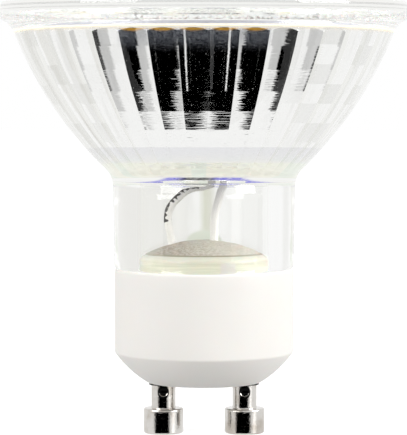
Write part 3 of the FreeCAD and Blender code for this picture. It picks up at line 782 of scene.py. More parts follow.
# LED board with its cases, phosphor, ballast resistors, solder and silicone dabs
ledBoard = {"radius": 22.3, "bottom": 50.3, "top": 51.1, "leadHole": 0.58, "leadX": 1.8, "edgeRound": 0.05}
ledRings = {"rings": 3, "count": 6, "radius": 6.4, "step": 6.0}
ledCase = {
    "length": 3.5, "width": 2.8, "height": 0.7, "round": 0.12, "cup": (2.1, 2.7), "cupDepth": 0.35,
    "mark": 0.45,
}
ballast = {
    "width": 1.25, "length": 2.0, "height": 0.45, "cap": 0.35, "count": 4, "radius": 9.4, "phase": 30.0,
}
dabs = {
    "count": 6, "radius": 0.9, "foot": 24.0, "sink": 0.36, "ring": 21.91, "phase": 10.0, "reach": 22.4,
    "lumps": 0.12,
}
frontJoint = {"foot": 1.0, "height": 0.33, "wire": 0.5}


def roundedRectangle(width, depth, radius, steps=3):
    corners = ((1, 1), (-1, 1), (-1, -1), (1, -1))
    points = []
    for number, (sx, sy) in enumerate(corners):
        middle = sx * (width / 2 - radius), sy * (depth / 2 - radius)
        for i in range(steps + 1):
            angle = math.pi / 2 * (number + i / steps)
            points.append((middle[0] + radius * math.cos(angle), middle[1] + radius * math.sin(angle)))
    return points


def stacked(name, sections):
    # sections of (outline, height), each outline with as many points, joined and closed at both ends
    build = bmesh.new()
    rings = [[build.verts.new((x * mm, y * mm, z * mm)) for x, y in outline] for outline, z in sections]
    joinRings(build, rings)
    build.faces.new(rings[0])
    build.faces.new(rings[-1])
    return meshFrom(build, name)


def ringsLayout(name, rings):
    # copies of a model in rings round the axis, each turned to face outwards; each next ring holds more
    # of them by the first ring's count, and every second ring is turned by half a step
    kinds = {"Model": "Object", "Count": "Int", "Material": "Material"}
    kinds |= {title: "Float" for title in ("Radius", "Phase", "Height", "Ring Step")}
    layout = Layout(name, kinds)
    given = layout.given
    source = {"Object": given.out("Model")}
    model = layout.node("GeometryNodeObjectInfo", {"transform_space": "ORIGINAL"}, source, "Geometry")
    joined = layout.node("GeometryNodeJoinGeometry")
    for ring in reversed(range(rings)):
        count = given.out("Count") * float(ring + 1)
        radius = given.out("Radius") + given.out("Ring Step") * float(ring)
        angle = given.out("Phase") + (ring % 2) * math.pi / count
        angle = angle + layout.node("GeometryNodeInputIndex") * (2 * math.pi / count)
        x, y = radius * layout.math("COSINE", angle), radius * layout.math("SINE", angle)
        dots = layout.node("GeometryNodePoints", {}, {"Count": count})
        copies = layout.node("GeometryNodeInstanceOnPoints", {}, {
            "Points": layout.moved(dots, layout.join(x, y, given.out("Height"))), "Instance": model,
            "Rotation": layout.join(0.0, 0.0, angle),
        })
        layout.nodeTree.links.new(copies.socket, joined.made.inputs[0])
    layout.close(joined, given.out("Material"))
    return layout


def onRings(name, node, slot, model, material, count, radius, phase=0.0, step=0.0, rings=1):
    # a model repeated on the LED board
    piece = addPiece(name, bpy.data.meshes.new(name))
    source = addPiece(name + "Model", model)
    grown(piece, ringsLayout(name, rings), {
        "Model": source, "Count": count, "Radius": radius * mm, "Ring Step": step * mm,
        "Phase": math.radians(phase), "Height": ledBoard["top"] * mm, "Material": material,
    })
    bpy.data.objects.remove(source)
    piece.data.set_sharp_from_angle(angle=sharpAngle)
    place(piece, node, slot)


def addLeds():
    # a moulded case with one corner cut as its mark, and the cup in it filled with phosphor
    c = ledCase
    top, floor, cut = c["height"], c["height"] - c["cupDepth"], c["mark"]
    x, y = c["width"] / 2, c["length"] / 2
    outer = roundedRectangle(c["width"], c["length"], c["round"])
    outer[:4] = [
        (x, y - cut), (x - cut * 0.35, y - cut * 0.65), (x - cut * 0.65, y - cut * 0.35), (x - cut, y),
    ]
    inCup = lambda less, radius: roundedRectangle(c["cup"][0] - less, c["cup"][1] - less, radius)
    foot = inCup(0.3, 0.4)
    case = stacked("ledCase", [(outer, 0), (outer, top), (inCup(0, 0.5), top), (foot, floor)])
    fill = [(foot, floor), (inCup(0.02, 0.5), top - 0.06), (inCup(0.6, 0.5), top - 0.03)]
    filling = stacked("ledFill", fill)
    onRings("ledCases", "led_packages", "led_case", case, caseMaterial, **ledRings)
    onRings("ledFillings", "led_phosphor", "phosphor", filling, phosphorMaterial, **ledRings)


def addLedBoard():
    b = ledBoard
    outline = softened(disc(b["radius"], b["bottom"], b["top"]), b["edgeRound"], 2)
    piece = addPiece("ledBoard", turnedMesh("ledBoard", outline, 180), boardMaterial)
    holes = []
    for x in (-b["leadX"], b["leadX"]):
        drill = turnedMesh("drill", disc(b["leadHole"], 49, 53), 24, centre=(x, 0))
        holes.append(addPiece("drill", drill))
    carve(piece, holes)
    place(piece, "led_board", "board_white")


def addBallast():
    b = ballast
    box = roundedRectangle(b["width"], b["length"], 0.06, 1)
    chip = stacked("chip", [(box, 0), (box, b["height"])])
    ring = b["count"], b["radius"], b["phase"]
    onRings("ballastResistors", "ballast_resistors", "chip_black", chip, chipMaterial, *ring)


def addDabs():
    # low domes, lumpy and cut off where they would reach into the glass
    d = dabs
    angles = [math.radians(d["foot"] + (90 - d["foot"]) * i / 8) for i in range(8)]
    ball = [(d["radius"] * math.cos(a), d["radius"] * math.sin(a) - d["sink"]) for a in angles]
    outline = [(0, 0)] + [(r, max(z, 0.0)) for r, z in ball] + [(0, d["radius"] - d["sink"])]
    mesh = turnedMesh("dab", outline, 24)
    for vert in mesh.vertices:
        push = d["lumps"] * noise.noise(vert.co * 1500.0)
        vert.co.x = min(vert.co.x * (1 + push), (d["reach"] - d["ring"]) * mm)
        vert.co.y *= 1 + push
    ring = d["count"], d["ring"], d["phase"]
    onRings("siliconeDabs", "silicone_dabs", "silicone", mesh, dabMaterial, *ring)


def solderCone(name, x, low, foot, height, wire):
    # concave fillet of solder from its foot up to the wire, with the wire's trimmed end
    outline = [(0, low), (foot, low)]
    for i in range(1, 7):
        share = i / 6
        outline.append((foot + (wire - foot) * (1 - (1 - share) ** 2.2), low + height * share))
    outline += [(wire * 0.55, low + height + wire * 0.22), (0, low + height + wire * 0.3)]
    return turnedMesh(name, outline, 32, centre=(x, 0))


def addFrontJoints():
    build = bmesh.new()
    for x in (-ledBoard["leadX"], ledBoard["leadX"]):
        build.from_mesh(solderCone("joint", x, ledBoard["top"], **frontJoint))
    piece = addPiece("leadSolderJoints", meshFrom(build, "leadSolderJoints"), solderMaterial)
    place(piece, "lead_solder_joints", "solder")


# Lead wires in a braided sleeve, held from the driver board up to the LED board
leadSleeve = {"radius": 0.5, "crowns": 7.0, "pitch": 1.5, "relief": 0.07, "around": 56, "spacing": 0.09}
leadRoutes = {
    "leadLeft": (
        (-3.0, 15.1, 0), (-3.0, 19.0, 9.0), (-4.75, 27.6, 3.4), (-1.9, 30.7, 3.1), (1.0, 30.85, 1.45),
        (0.8, 36.0, 14.0), (-1.8, 45.5, 14.0), (-1.8, 51.4, 0),
    ),
    "leadRight": (
        (1.25, 15.1, 0), (1.25, 26.8, 9.0), (2.5, 32.0, 9.0), (2.5, 37.0, 20.0), (1.8, 44.5, 20.0),
        (1.8, 51.4, 0),
    ),
}


def sleeveLayout():
    # a tube along the path whose surface stands out where the two sets of braid strands cross
    kinds = {title: "Float" for title in ("Radius", "Spacing", "Crowns", "Pitch", "Relief")}
    layout = Layout("sleeve", kinds | {"Around": "Int", "Material": "Material"})
    given = layout.given
    path = layout.node("GeometryNodeMeshToCurve", {}, {0: given})
    steps = {"Curve": path, "Length": given.out("Spacing")}
    even = layout.node("GeometryNodeResampleCurve", {"mode": "LENGTH"}, steps)
    kept = layout.stored(even, "along", layout.node("GeometryNodeSplineParameter", output="Length"))
    sizes = {"Resolution": given.out("Around"), "Radius": given.out("Radius")}
    circle = layout.node("GeometryNodeCurvePrimitiveCircle", {}, sizes)
    marked = layout.stored(circle, "around", layout.node("GeometryNodeSplineParameter", output="Factor"))
    curves = {"Curve": kept, "Profile Curve": marked, "Fill Caps": True}
    tube = layout.node("GeometryNodeCurveToMesh", {}, curves)
    turns = layout.attribute("around") * given.out("Crowns") * 2 * math.pi
    climb = layout.attribute("along") * (2 * math.pi / given.out("Pitch")) * given.out("Crowns") * 0.5
    weave = layout.math("MAXIMUM", layout.math("SINE", turns + climb), layout.math("SINE", turns - climb))
    outward = {0: layout.node("GeometryNodeInputNormal"), "Scale": (weave - 1.0) * given.out("Relief")}
    push = layout.node("ShaderNodeVectorMath", {"operation": "SCALE"}, outward)
    shaped = layout.node("GeometryNodeSetPosition", {}, {"Geometry": tube, "Offset": push})
    soft = layout.node("GeometryNodeSetShadeSmooth", {}, {"Geometry": shaped})
    layout.close(soft, given.out("Material"))
    return layout


def pathMesh(name, route):
    spots = [route[0][:2]]
    for before, corner, after in zip(route, route[1:], route[2:]):
        spots.extend(rounded(corner[:2], before[:2], after[:2], corner[2], 16))
    spots.append(route[-1][:2])
    mesh = bpy.data.meshes.new(name)
    verts = [(x * mm, 0.0, z * mm) for x, z in spots]
    mesh.from_pydata(verts, [(i, i + 1) for i in range(len(verts) - 1)], [])
    return mesh


def addLeads():
    s = leadSleeve
    layout = sleeveLayout()
    values = {"Around": s["around"], "Crowns": s["crowns"]}
    values |= {title: s[title.lower()] * mm for title in ("Radius", "Spacing", "Pitch", "Relief")}
    finishes = {"lead_left": shadedSleeveMaterial, "lead_right": sleeveMaterial}
    for (name, route), (node, material) in zip(leadRoutes.items(), finishes.items()):
        piece = addPiece(name, pathMesh(name, route))
        grown(piece, layout, values | {"Material": material})
        place(piece, node, "lead_sleeve")


# Potting: the domed resin that closes the neck's floor
potting = {
    "plugRadius": 7.95, "flangeRadius": 9.95, "bottom": 16.0, "flangeTop": 16.9, "edge": 21.95,
    "apex": 24.0, "edgeRound": 0.5, "columns": 144, "unevenness": 0.06,
}


def addPotting():
    p = potting
    plug, edge, apex, flangeTop = p["plugRadius"], p["edge"], p["apex"], p["flangeTop"]
    half = plug / 2
    domeRadius = (plug ** 2 + (apex - edge) ** 2) / (2 * (apex - edge))
    halfHeight = apex - domeRadius + math.sqrt(domeRadius ** 2 - half ** 2)
    dome = arcThrough((plug, edge), (half, halfHeight), (0.0, apex), 40)
    corner = rounded((plug, edge), (plug, flangeTop), dome[6], p["edgeRound"], 5)
    outline = [(0, p["bottom"]), (p["flangeRadius"], p["bottom"]), (p["flangeRadius"], flangeTop)]
    outline += [(plug, flangeTop)] + between((plug, flangeTop), corner[0], 12)
    outline += corner[1:] + [point for point in dome if point[0] < corner[-1][0] - 0.05]
    mesh = turnedMesh("neckPotting", outline, p["columns"])
    for vert in mesh.vertices:
        if vert.co.z > (edge + 0.3) * mm:
            vert.co.z += p["unevenness"] * mm * noise.noise(vert.co * 700.0)
    place(addPiece("neckPotting", mesh, pottingMaterial), "neck_potting", "potting_resin")


# Base shell: moulded cup, its lower edge bevelled and slightly bellied
baseShell = {
    "radius": 11.0, "bottomRadius": 7.05, "bottom": 6.4, "chamferTop": 10.1, "belly": 0.28, "rim": 20.4,
    "rimRound": 0.3, "mouthRadius": 10.1, "wellRadius": 9.2, "ledge": 15.0, "floor": 7.9, "innerWall": 1.8,
    "bossRadius": 2.8, "bossTop": 9.0, "pinX": 5.0, "pinHole": 1.55, "relief": 1.9, "reliefDepth": 0.3,
    "bottomRound": 0.25, "chamferRound": 0.5, "columns": 192, "drillFoot": 5.0, "drillTop": 9.5,
}


def addBase():
    b = baseShell
    bottom, rimTop, floor, hole = b["bottom"], b["rim"], b["floor"], b["pinHole"]
    low, top = (b["bottomRadius"], bottom), (b["radius"], b["chamferTop"])
    belly = arcThrough(low, bulged(low, top, b["belly"]), top, 16)
    start = rounded(low, (0, bottom), belly[1], b["bottomRound"], 4)
    upper = rounded(top, belly[-3], (b["radius"], rimTop), b["chamferRound"], 6)
    rim = rounded((b["radius"], rimTop), top, (b["mouthRadius"], rimTop), b["rimRound"], 6)
    inner = (b["bottomRadius"] - b["innerWall"] / 2, floor)
    side = (b["wellRadius"], b["chamferTop"] + b["innerWall"] / 4)
    outline = [(0, bottom)] + start
    outline += [point for point in belly if start[-1][0] + 0.05 < point[0] < upper[0][0] - 0.05]
    outline += upper + between(upper[-1], rim[0], 6) + rim[1:] + [(b["mouthRadius"], rimTop)]
    outline += [(b["mouthRadius"], b["ledge"]), (b["wellRadius"], b["ledge"]), side]
    outline += arcThrough(side, bulged(inner, side, b["belly"]), inner, 6) + [(0, floor)]
    piece = addPiece("baseShell", turnedMesh("baseShell", outline, b["columns"]), plasticMaterial)
    seat, foot, end = bottom + b["reliefDepth"], b["drillFoot"], b["drillTop"]
    bore = [(0, foot), (b["relief"], foot), (b["relief"], seat), (hole, seat), (hole, end), (0, end)]
    boss = [(hole, floor - 0.5), (b["bossRadius"], floor - 0.5)]
    boss += [(b["bossRadius"], b["bossTop"]), (hole, b["bossTop"])]
    spots = [(-b["pinX"], 0), (b["pinX"], 0)]
    carve(piece, [addPiece("drill", turnedMesh("drill", bore, 64, centre=spot)) for spot in spots])
    build = bmesh.new()
    build.from_mesh(piece.data)
    for spot in spots:
        build.from_mesh(turnedMesh("boss", boss, 48, closed=True, centre=spot))
    build.to_mesh(piece.data)
    build.free()
    place(piece, "base_shell", "base_plastic")


# Contact pins: turned, plated, each crimped with one punch on the front
contactPin = {
    "x": 5.0, "headRadius": 2.45, "headHeight": 3.1, "headRound": 0.25, "shoulderRound": 0.2,
    "stemRadius": 1.5, "rootRound": 0.08, "flangeRadius": 2.1, "flangeBottom": 9.0, "top": 9.5,
    "bore": 0.6, "boreFloor": 4.4, "boreTip": 0.36, "columns": 160,
    "dimpleRadius": 0.75, "dimpleDepth": 0.35, "dimpleHeight": 5.15, "lip": 0.02, "lipWidth": 0.12,
    "gapRadius": 1.8, "gapBottom": 6.0, "gapTop": 6.16,
}


def addPin(name, x, node):
    c = contactPin
    stem, flange, bore = c["stemRadius"], c["flangeRadius"], c["bore"]
    low, top = c["flangeBottom"], c["top"]
    head = (c["headRadius"], 0.0)
    shoulder = (c["headRadius"], c["headHeight"])
    root = (stem, c["headHeight"])
    outline = [(0, 0)] + rounded(head, (0, 0), shoulder, c["headRound"], 6)
    turn = rounded(shoulder, head, root, c["shoulderRound"], 4)
    outline += between(outline[-1], turn[0], 8) + turn[1:]
    outline += rounded(root, shoulder, (stem, low), c["rootRound"], 3)
    outline += between(outline[-1], (stem, c["gapBottom"]), 40)
    outline += [(c["gapRadius"], c["gapBottom"]), (c["gapRadius"], c["gapTop"]), (stem, c["gapTop"])]
    outline += [(stem, low), (flange, low), (flange, top), (bore, top), (bore, c["boreFloor"])]
    outline += [(0, c["boreFloor"] - c["boreTip"])]
    mesh = turnedMesh(name, outline, c["columns"])
    # the punch is a ball that stands in the stem by the dimple's depth, with a low lip round it
    punch = (c["dimpleRadius"] ** 2 + c["dimpleDepth"] ** 2) / (2 * c["dimpleDepth"])
    centre = Vector((0, c["dimpleDepth"] - stem - punch, c["dimpleHeight"]))
    for vert in mesh.vertices:
        spot = vert.co / mm
        if abs(math.hypot(spot.x, spot.y) - stem) < 0.01 and spot.y < 0:
            gap = (spot - centre).length
            if gap < punch:
                spot = centre + (spot - centre) * (punch / gap)
            spot.y -= c["lip"] * max(0.0, 1.0 - abs(gap - punch) / c["lipWidth"])
            vert.co = spot * mm
    mesh.transform(Matrix.Translation((x * mm, 0, 0)))
    place(addPiece(name, mesh, nickelMaterial), node, "nickel_plate")


# Finishes of the pieces
def coverFinish():
    finish = Finish("cover_glass")
    haze = finish.grain(90.0, 3.0)
    glass = finish.principled(
        baseColor=(0.98, 0.99, 0.985), roughness=0.01 + haze * 0.03, ior=1.5, transmissionWeight=1.0
    )
    return finish.letThrough(glass, (0.97, 0.98, 0.975))


def plasticFinish():
    finish = Finish("base_plastic")
    mottle = finish.grain(120.0, 4.0)
    colour = finish.mix(mottle, (0.86, 0.836, 0.795), (0.90, 0.877, 0.84))
    return finish.plain(
        baseColor=colour, roughness=0.34 + mottle * 0.12, subsurfaceWeight=0.08,
        subsurfaceScale=0.001, bump=(finish.grain(3500.0, 3.0), 0.12, 0.00004)
    )


nickelPlate = {"mask": -0.7, "dark": (0.80, 0.92), "arc": 0.52, "arcWidth": 0.05, "arcTop": -0.12}


def nickelFinish():
    # bright plate; painted shade blackens the punched dimple but for a painted highlight in an arc, and a
    # painted shadow blackens the gap at the base
    c, n = contactPin, nickelPlate
    finish = Finish("nickel_plate")
    x, y, z = finish.spot()
    grain = finish.grain(5200.0, 3.0, 0.6)
    turning = finish.noise(finish.stretched(1.0, 9.0), 900.0, 2.0)
    tarnish = finish.smooth(finish.grain(420.0, 4.0), 0.42, 0.7)
    plate = finish.mix(tarnish, (0.66, 0.64, 0.61), (0.50, 0.46, 0.41))
    side = abs(x) - c["x"]
    rise = z - c["dimpleHeight"]
    oval = finish.math("SQRT", side * side * 1.5 + rise * rise * 0.9)
    # a painted highlight in an arc inside the dimple
    arc = (abs(finish.length(side, rise) - n["arc"]) < n["arcWidth"]) * (rise < n["arcTop"])
    dimpleShade = finish.smooth(oval, *n["dark"], 1.0, 0.0) * (y < n["mask"])
    # painted shadow in the gap at the base
    gap = (z > c["gapBottom"] - 0.02) * (z < c["gapTop"] + 0.02)
    dark = finish.math("MAXIMUM", dimpleShade * (1.0 - arc * 0.6), gap)
    return finish.plain(
        baseColor=finish.mix(dark, plate, (0.006, 0.006, 0.006)), metallic=1.0,
        roughness=0.02 + finish.smooth(grain, 0.5, 0.75) * 0.08, bump=(grain + turning * 0.3, 0.6, 0.00003)
    )


resinFinish = {
    "domeTopSpan": (22.38, 22.5), "lighterSpan": (-1.0, 6.0), "leadMiddle": 2.6, "leadSpan": (0.65, 0.95),
    "shadeSpan": (21.3, 21.9), "edge": 22.42, "edgeSpan": (0.02, 0.12),
}


def pottingFinish():
    # pale clear resin with faint layers, a brown line at its edge and a darker grey-brown grain on its dome,
    # darker towards the left; the right lead shows through it as a pale stripe
    r = resinFinish
    finish = Finish("potting_resin")
    x, y, height = finish.spot()
    grain, cloud = finish.grain(3000.0, 4.0, 0.7), finish.grain(240.0, 3.0)
    domeTop = finish.smooth(height, *r["domeTopSpan"])
    coarse = finish.smooth(grain, 0.35, 0.65)
    darkerGrain = finish.mix(coarse, (0.22, 0.195, 0.15), (0.42, 0.385, 0.32))
    lighterGrain = finish.mix(coarse, (0.38, 0.36, 0.29), (0.50, 0.475, 0.41))
    dust = finish.mix(finish.smooth(x + cloud * 6.0, *r["lighterSpan"]), darkerGrain, lighterGrain)
    layers = finish.smooth(finish.noise(finish.stretched(0.15, 2.6), 900.0), 0.35, 0.65)
    resin = finish.mix(layers, (0.56, 0.58, 0.46), (0.70, 0.70, 0.58))
    lead = finish.smooth(abs(x - r["leadMiddle"]), *r["leadSpan"], 1.0, 0.0) * (y < 0.0)
    resin = finish.mix(lead, resin, (0.62, 0.60, 0.57))
    resin = finish.mix(finish.smooth(height, *r["shadeSpan"]), resin, (0.54, 0.545, 0.46))
    edge = finish.smooth(abs(height - r["edge"]), *r["edgeSpan"])
    return finish.plain(
        baseColor=finish.mix(edge, (0.22, 0.20, 0.13), finish.mix(domeTop, resin, dust)),
        roughness=0.25 + domeTop * 0.4, subsurfaceWeight=0.35, subsurfaceScale=0.003,
        bump=(grain * domeTop + cloud * 0.3, 0.35, 0.0001)
    )


sleeveShade = {"side": 0.56, "width": 0.145, "teeth": 0.62, "start": 11.2, "end": 17.8}


def sleeveFinish(name, marked):
    # fine pale threads, and on one lead a painted shade with ragged teeth along the side of its bend that
    # faces up under the bowl
    finish = Finish(name)
    read = lambda attribute: finish.node("ShaderNodeAttribute", {"attribute_name": attribute}, {}, "Fac")
    around, along = read("around"), read("along")
    threads = finish.math("SINE", along * (2 * math.pi / (0.19 * mm)) + around * 40.0)
    colour = finish.mix(finish.smooth(threads, -0.6, 0.8), (0.76, 0.745, 0.70), (0.90, 0.89, 0.86))
    if marked:
        # painted shade on the side of the bend that faces up
        t = sleeveShade
        teeth = finish.math("PINGPONG", along / mm, t["teeth"] / 2) / t["teeth"] * 2.0
        reach = t["width"] * (0.5 + teeth * 0.8 + (finish.grain(2600.0) - 0.5) * 2.4)
        side = abs(finish.math("WRAP", around - t["side"], -0.5, 0.5))
        inside = (side < reach) * (along / mm > t["start"]) * (along / mm < t["end"])
        colour = finish.mix(inside, colour, (0.03, 0.025, 0.02))
    return finish.plain(baseColor=colour, roughness=0.6, bump=(threads, 0.3, 0.00005))


def sealantFinish():
    # whitish with grey in a fine grain, darker grey near the front and back middle where the rim's glass is
    # rough too; it also glows a little in its own colour, painted light
    finish = Finish("silicone")
    grain = finish.grain(1800.0, 4.0)
    side = abs(finish.spot()[0] - glassFinish["roughMiddle"])
    near = finish.smooth(side, *glassFinish["roughSpan"], 1.0, 0.0)
    rough = finish.mix(near, (0.78, 0.78, 0.76), (0.36, 0.36, 0.35))
    colour = finish.mix(finish.smooth(grain, 0.36, 0.6), rough, (0.95, 0.95, 0.94))
    return finish.plain(
        baseColor=colour, roughness=0.45, subsurfaceWeight=0.3, subsurfaceScale=0.001,
        emissionColor=colour, emissionStrength=0.35, bump=(grain, 0.5, 0.0001)
    )


def dabFinish():
    # milky clear silicone
    finish = Finish("silicone_clear")
    grain = finish.grain(1500.0, 3.0)
    body = finish.principled(
        baseColor=finish.mix(grain, (0.93, 0.93, 0.92), (0.98, 0.98, 0.975)), roughness=0.25, ior=1.41,
        transmissionWeight=0.75, bump=(grain, 0.3, 0.0001)
    )
    return finish.letThrough(body, (0.9, 0.9, 0.89))


def boardFinish():
    # white mask over faint ring tracks, and the laminate's grey edge with a cream foot
    finish = Finish("board_white")
    x, y, height = finish.spot()
    radius = finish.length(x, y)
    grain = finish.grain(1500.0, 3.0)
    mask = finish.mix(grain, (0.86, 0.86, 0.85), (0.92, 0.92, 0.91))
    tracks = finish.math("PINGPONG", radius - ledRings["radius"], ledRings["step"] / 2)
    track = finish.smooth(tracks, 0.55, 0.62, 1.0, 0.0)
    face = finish.mix(track * 0.35, mask, (0.80, 0.80, 0.78))
    edge = finish.mix(grain, (0.44, 0.44, 0.51), (0.54, 0.54, 0.60))
    edge = finish.mix(height < ledBoard["bottom"] + 0.1, edge, (0.80, 0.77, 0.68))
    rim = (height < ledBoard["top"] - 0.04) * (radius > ledBoard["radius"] - 0.3)
    return finish.plain(
        baseColor=finish.mix(rim, face, edge), roughness=0.3 + grain * 0.15,
        bump=(track + grain * 0.15, 0.3, 0.00004)
    )


def chipFinish():
    # a dark chip with tinned caps at the ends of its length
    finish = Finish("chip_black")
    x, y, z = finish.spot()
    grain = finish.grain(2400.0)
    step = math.pi / ballast["count"]
    local = finish.math("WRAP", finish.math("ARCTAN2", y, x) - math.radians(ballast["phase"]), -step, step)
    cap = abs(finish.length(x, y) * finish.math("SINE", local)) > ballast["length"] / 2 - ballast["cap"]
    return finish.plain(
        baseColor=finish.mix(cap, (0.02, 0.02, 0.022), (0.72, 0.72, 0.71)), metallic=cap,
        roughness=0.35 + grain * 0.15, bump=(grain, 0.2, 0.00003)
    )


def grainyFinish(name, first, second, scale, roughness, uneven, bump, detail=3.0, **more):
    # two close tones in a fine grain
    finish = Finish(name)
    grain = finish.grain(scale, detail)
    return finish.plain(
        baseColor=finish.mix(grain, first, second), bump=(grain, *bump),
        roughness=roughness + grain * uneven if uneven else roughness, **more
    )


coverMaterial = coverFinish()
plasticMaterial = plasticFinish()
nickelMaterial = nickelFinish()
pottingMaterial = pottingFinish()
sleeveMaterial = sleeveFinish("lead_sleeve", False)
shadedSleeveMaterial = sleeveFinish("lead_sleeve_tracer", True)
sealantMaterial = sealantFinish()
dabMaterial = dabFinish()
boardMaterial = boardFinish()
chipMaterial = chipFinish()
caseMaterial = grainyFinish(
    "led_case", (0.84, 0.84, 0.82), (0.92, 0.92, 0.90), 2600.0, 0.32, 0.0, (0.1, 0.00003), detail=2.0
)
phosphorMaterial = grainyFinish(
    "phosphor", (0.86, 0.62, 0.10), (0.95, 0.76, 0.24), 4200.0, 0.18, 0.0, (0.15, 0.00003),
    subsurfaceWeight=0.3, subsurfaceScale=0.0005
)
solderMaterial = grainyFinish(
    "solder", (0.62, 0.62, 0.61), (0.78, 0.78, 0.77), 1600.0, 0.22, 0.2, (0.3, 0.00005), metallic=1.0
)

# Hidden pieces keep their CAD shapes: name, two tones, grain, metallic, roughness and relief
hiddenFinishes = {
    "driver_board": ("driver_laminate", (0.10, 0.22, 0.12), (0.16, 0.30, 0.18), 900, 0.0, 0.4, 0.2),
    "driver_solder_joints": ("driver_solder", (0.60, 0.60, 0.59), (0.78, 0.78, 0.77), 1500, 1.0, 0.25, 0.3),
    "film_capacitor": ("film_case", (0.42, 0.05, 0.03), (0.52, 0.08, 0.05), 700, 0.0, 0.3, 0.2),
    "electrolytic_capacitor": ("can_sleeve", (0.03, 0.04, 0.07), (0.06, 0.07, 0.11), 500, 0.0, 0.28, 0.1),
    "bridge_rectifier": ("rectifier_black", (0.018, 0.018, 0.019), (0.05, 0.05, 0.052), 2200, 0.0, 0.5, 0.4),
    "bleed_resistor": ("bleed_chip", (0.02, 0.02, 0.022), (0.05, 0.05, 0.055), 2200, 0.0, 0.4, 0.3),
    "fusible_resistor": ("resistor_coat", (0.20, 0.34, 0.36), (0.28, 0.44, 0.46), 900, 0.0, 0.45, 0.2),
    "input_lead": ("tinned_wire", (0.68, 0.67, 0.65), (0.82, 0.81, 0.80), 1800, 1.0, 0.2, 0.2),
    "neck_cement": ("cement", (0.72, 0.70, 0.65), (0.86, 0.85, 0.81), 1500, 0.0, 0.8, 0.6),
}
for node, (name, first, second, scale, metallic, roughness, relief) in hiddenFinishes.items():
    bump = relief, 0.00005
    materials = cad[node].data.materials
    materials.clear()
    materials.append(grainyFinish(name, first, second, scale, roughness, 0.12, bump, metallic=metallic))
print("finishes made")

addFrontCover()
addSealant()
addLeds()
addLedBoard()
addBallast()
addDabs()
addFrontJoints()
print("front made")
addLeads()
addPotting()
print("neck made")
addBase()
addPin("contactPinLeft", -contactPin["x"], "contact_pin_left")
addPin("contactPinRight", contactPin["x"], "contact_pin_right")
print("base and pins made")


# Studio: a white room whose table has a dark patch towards the camera, which the bowl's mirror shows
studio = {
    "floorSize": 3.0, "floorTone": (0.50, 0.50, 0.50), "worldLight": 0.55, "throughGlass": 0.95,
    "lamps": {"key": ((0.70, -0.26, 0.34), 4.9), "fill": ((-0.57, -0.42, 0.34), 3.2)}, "lampSize": 0.5,
    "greyTone": 0.62, "greyHeight": 0.5, "darkHeight": 0.6, "cardReach": 0.036,
    "greyCards": {
        "greyLeft": (
            (-12, -24), (-36, -20.5), (-49, -24), (-62, -29), (-88, -35), (-190, -90), (-165, -122),
            (-84, -72), (-67, -58), (-48.5, -44.6), (-38, -34.5), (-24, -27.7),
        ),
        "greyRight": (
            (42, -32.5), (54.5, -21.7), (69, -27.7), (93, -32.5), (170, -90), (70, -140), (58, -61.5),
            (52.7, -43.4),
        ),
    },
    "darkCards": {
        "darkLeft": (
            (3.7, -24.6), (-12, -26.8), (-24, -29.5), (-38, -34.5), (-48.5, -44.6), (-67, -58), (-84, -72),
            (-165, -122), (-90, -150), (9, -150), (4.6, -77), (3.1, -43), (3.7, -42),
        ),
        "darkRight": (
            (3.7, -24.6), (19, -26.6), (28, -28.5), (42, -32.5), (52.7, -43.4), (58, -61.5), (70, -150),
            (16, -150), (8, -77), (4.9, -43), (3.7, -42),
        ),
    },
    "farRadius": 300.0, "farTop": 20.0, "farBottom": -150.0, "farSteps": 12,
    "farCards": ((-52, 34, 0.0), (50, 70, 1.7)), "backSpan": 28.0, "backMiddle": 21.0,
    "backCards": {
        "backCard": ((-28, 40, -20), (28, 40, -20), (28, 40, 60), (-28, 40, 60)),
        "backLeft": ((-110, 10, -20), (-28, 40, -20), (-28, 40, 44), (-110, 10, 44)),
    },
}


def stageFinish(name, tone, through):
    # plain pale floor: the camera sees it white with the object's shadow kept, the glass sees it even
    finish = Finish(name)
    path = finish.node("ShaderNodeLightPath")
    lit = finish.node("ShaderNodeBsdfDiffuse", {}, {"Color": tone})
    both = finish.node("ShaderNodeAddShader", {}, {0: lit, 1: finish.lamp(0.8)})
    bare = finish.blendShaders(path, lit, both)
    throughGlass = path.out("Is Transmission Ray") * (path.out("Diffuse Depth") < 0.5)
    return finish.done(finish.blendShaders(throughGlass, bare, finish.lamp(through)))


def cardFinish(name, tone, reach=0.0, bareOnly=False):
    # seen by mirrors only, by none that is nearer than its reach, and if wanted by none behind glass
    finish = Finish(name)
    path = finish.node("ShaderNodeLightPath")
    mirrored = (path.out("Glossy Depth") > 0.5) * (path.out("Ray Length") > reach)
    if bareOnly:
        mirrored = mirrored * (path.out("Transmission Depth") < 0.5)
    clear = finish.node("ShaderNodeBsdfTransparent")
    return finish.done(finish.blendShaders(mirrored, clear, finish.lamp(tone)))


def backFinish():
    # soft tones behind the neck, seen through its glass
    finish = Finish("back_card")
    x, y, z = finish.spot()
    tones = finish.ramp(
        x / studio["backSpan"] + 0.5,
        (0.09, (0.82, 0.815, 0.79)), (0.24, (0.91, 0.905, 0.88)), (0.34, (0.87, 0.865, 0.845)),
        (0.41, (0.97, 0.97, 0.96)), (0.45, (0.95, 0.95, 0.94)), (0.51, (0.70, 0.71, 0.60)),
        (0.56, (0.74, 0.74, 0.66)), (0.62, (0.97, 0.97, 0.965)), (0.86, (0.96, 0.96, 0.95)),
        (0.93, (0.86, 0.86, 0.85)),
    )
    rise = z - studio["backMiddle"]
    low = finish.smooth(finish.math("SQRT", x * x + rise * rise * 5.0), 4.5, 5.6, 1.0, 0.0)
    return finish.done(finish.glowing(finish.mix(low, tones, (0.74, 0.78, 0.68))))


def flatPiece(name, corners, material):
    build = bmesh.new()
    build.faces.new([build.verts.new(corner) for corner in corners])
    mesh = bpy.data.meshes.new(name)
    build.to_mesh(mesh)
    build.free()
    piece = addPiece(name, mesh, material)
    return piece


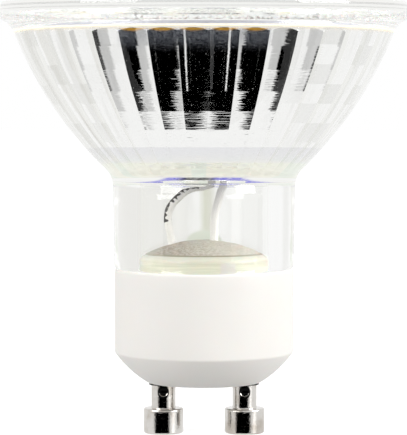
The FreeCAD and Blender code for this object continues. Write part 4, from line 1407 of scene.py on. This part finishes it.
def addCard(name, corners, material):
    piece = flatPiece(name, [tuple(value * mm for value in corner) for corner in corners], material)
    piece.visible_camera = False
    piece.visible_diffuse = False
    piece.visible_shadow = False
    return piece


def addFarCards():
    # upright strips on a wide circle, which the pins mirror
    s = studio
    for number, (first, last, tone) in enumerate(s["farCards"]):
        shade = cardFinish("far_card_" + str(number), tone, bareOnly=True)
        steps = range(s["farSteps"] + 1)
        angles = [math.radians(first + (last - first) * i / s["farSteps"]) for i in steps]
        spots = [(s["farRadius"] * math.sin(angle), -s["farRadius"] * math.cos(angle)) for angle in angles]
        for one, two in zip(spots, spots[1:]):
            low, high = s["farBottom"], s["farTop"]
            addCard("farCard", ((*one, low), (*two, low), (*two, high), (*one, high)), shade)


def addWorld():
    # white where it is seen, fainter where it only lights
    s = studio
    world = bpy.data.worlds.new("world")
    world.use_nodes = True
    scene.world = world
    tree = Tree(world.node_tree)
    tree.nodeTree.nodes.clear()
    path = tree.node("ShaderNodeLightPath")
    seen = path.out("Diffuse Depth") < 0.5
    white = 1.0 - path.out("Is Transmission Ray") * (1.0 - s["throughGlass"])
    strength = s["worldLight"] + seen * (white - s["worldLight"])
    sky = tree.node("ShaderNodeBackground", {}, {"Color": (1, 1, 1), "Strength": strength})
    tree.node("ShaderNodeOutputWorld", {}, {"Surface": sky}, output=None)


def addLamp(name, spot, power):
    data = bpy.data.lights.new(name, "AREA")
    data.shape = "SQUARE"
    data.size = studio["lampSize"]
    data.energy = power
    lamp = bpy.data.objects.new(name, data)
    scene.collection.objects.link(lamp)
    lamp.matrix_world = aimed(spot, (0, 0, 0.03))
    lamp.visible_camera = False


def addStudio():
    s = studio
    half = s["floorSize"] / 2
    corners = (-half, -half, 0), (half, -half, 0), (half, half, 0), (-half, half, 0)
    floor = flatPiece("floor", corners, stageFinish("floor", s["floorTone"], s["throughGlass"]))
    floor.visible_glossy = False
    for kind, tone in (("grey", s["greyTone"]), ("dark", 0.0)):
        card = cardFinish(kind + "_card", tone, s["cardReach"])
        for name, outline in s[kind + "Cards"].items():
            addCard(name, [(x, y, s[kind + "Height"]) for x, y in outline], card)
    addFarCards()
    soft = backFinish()
    for name, corners in s["backCards"].items():
        addCard(name, corners, soft).visible_glossy = False
    addWorld()
    for name, (spot, power) in s["lamps"].items():
        addLamp(name, spot, power)


addStudio()
print("studio made")
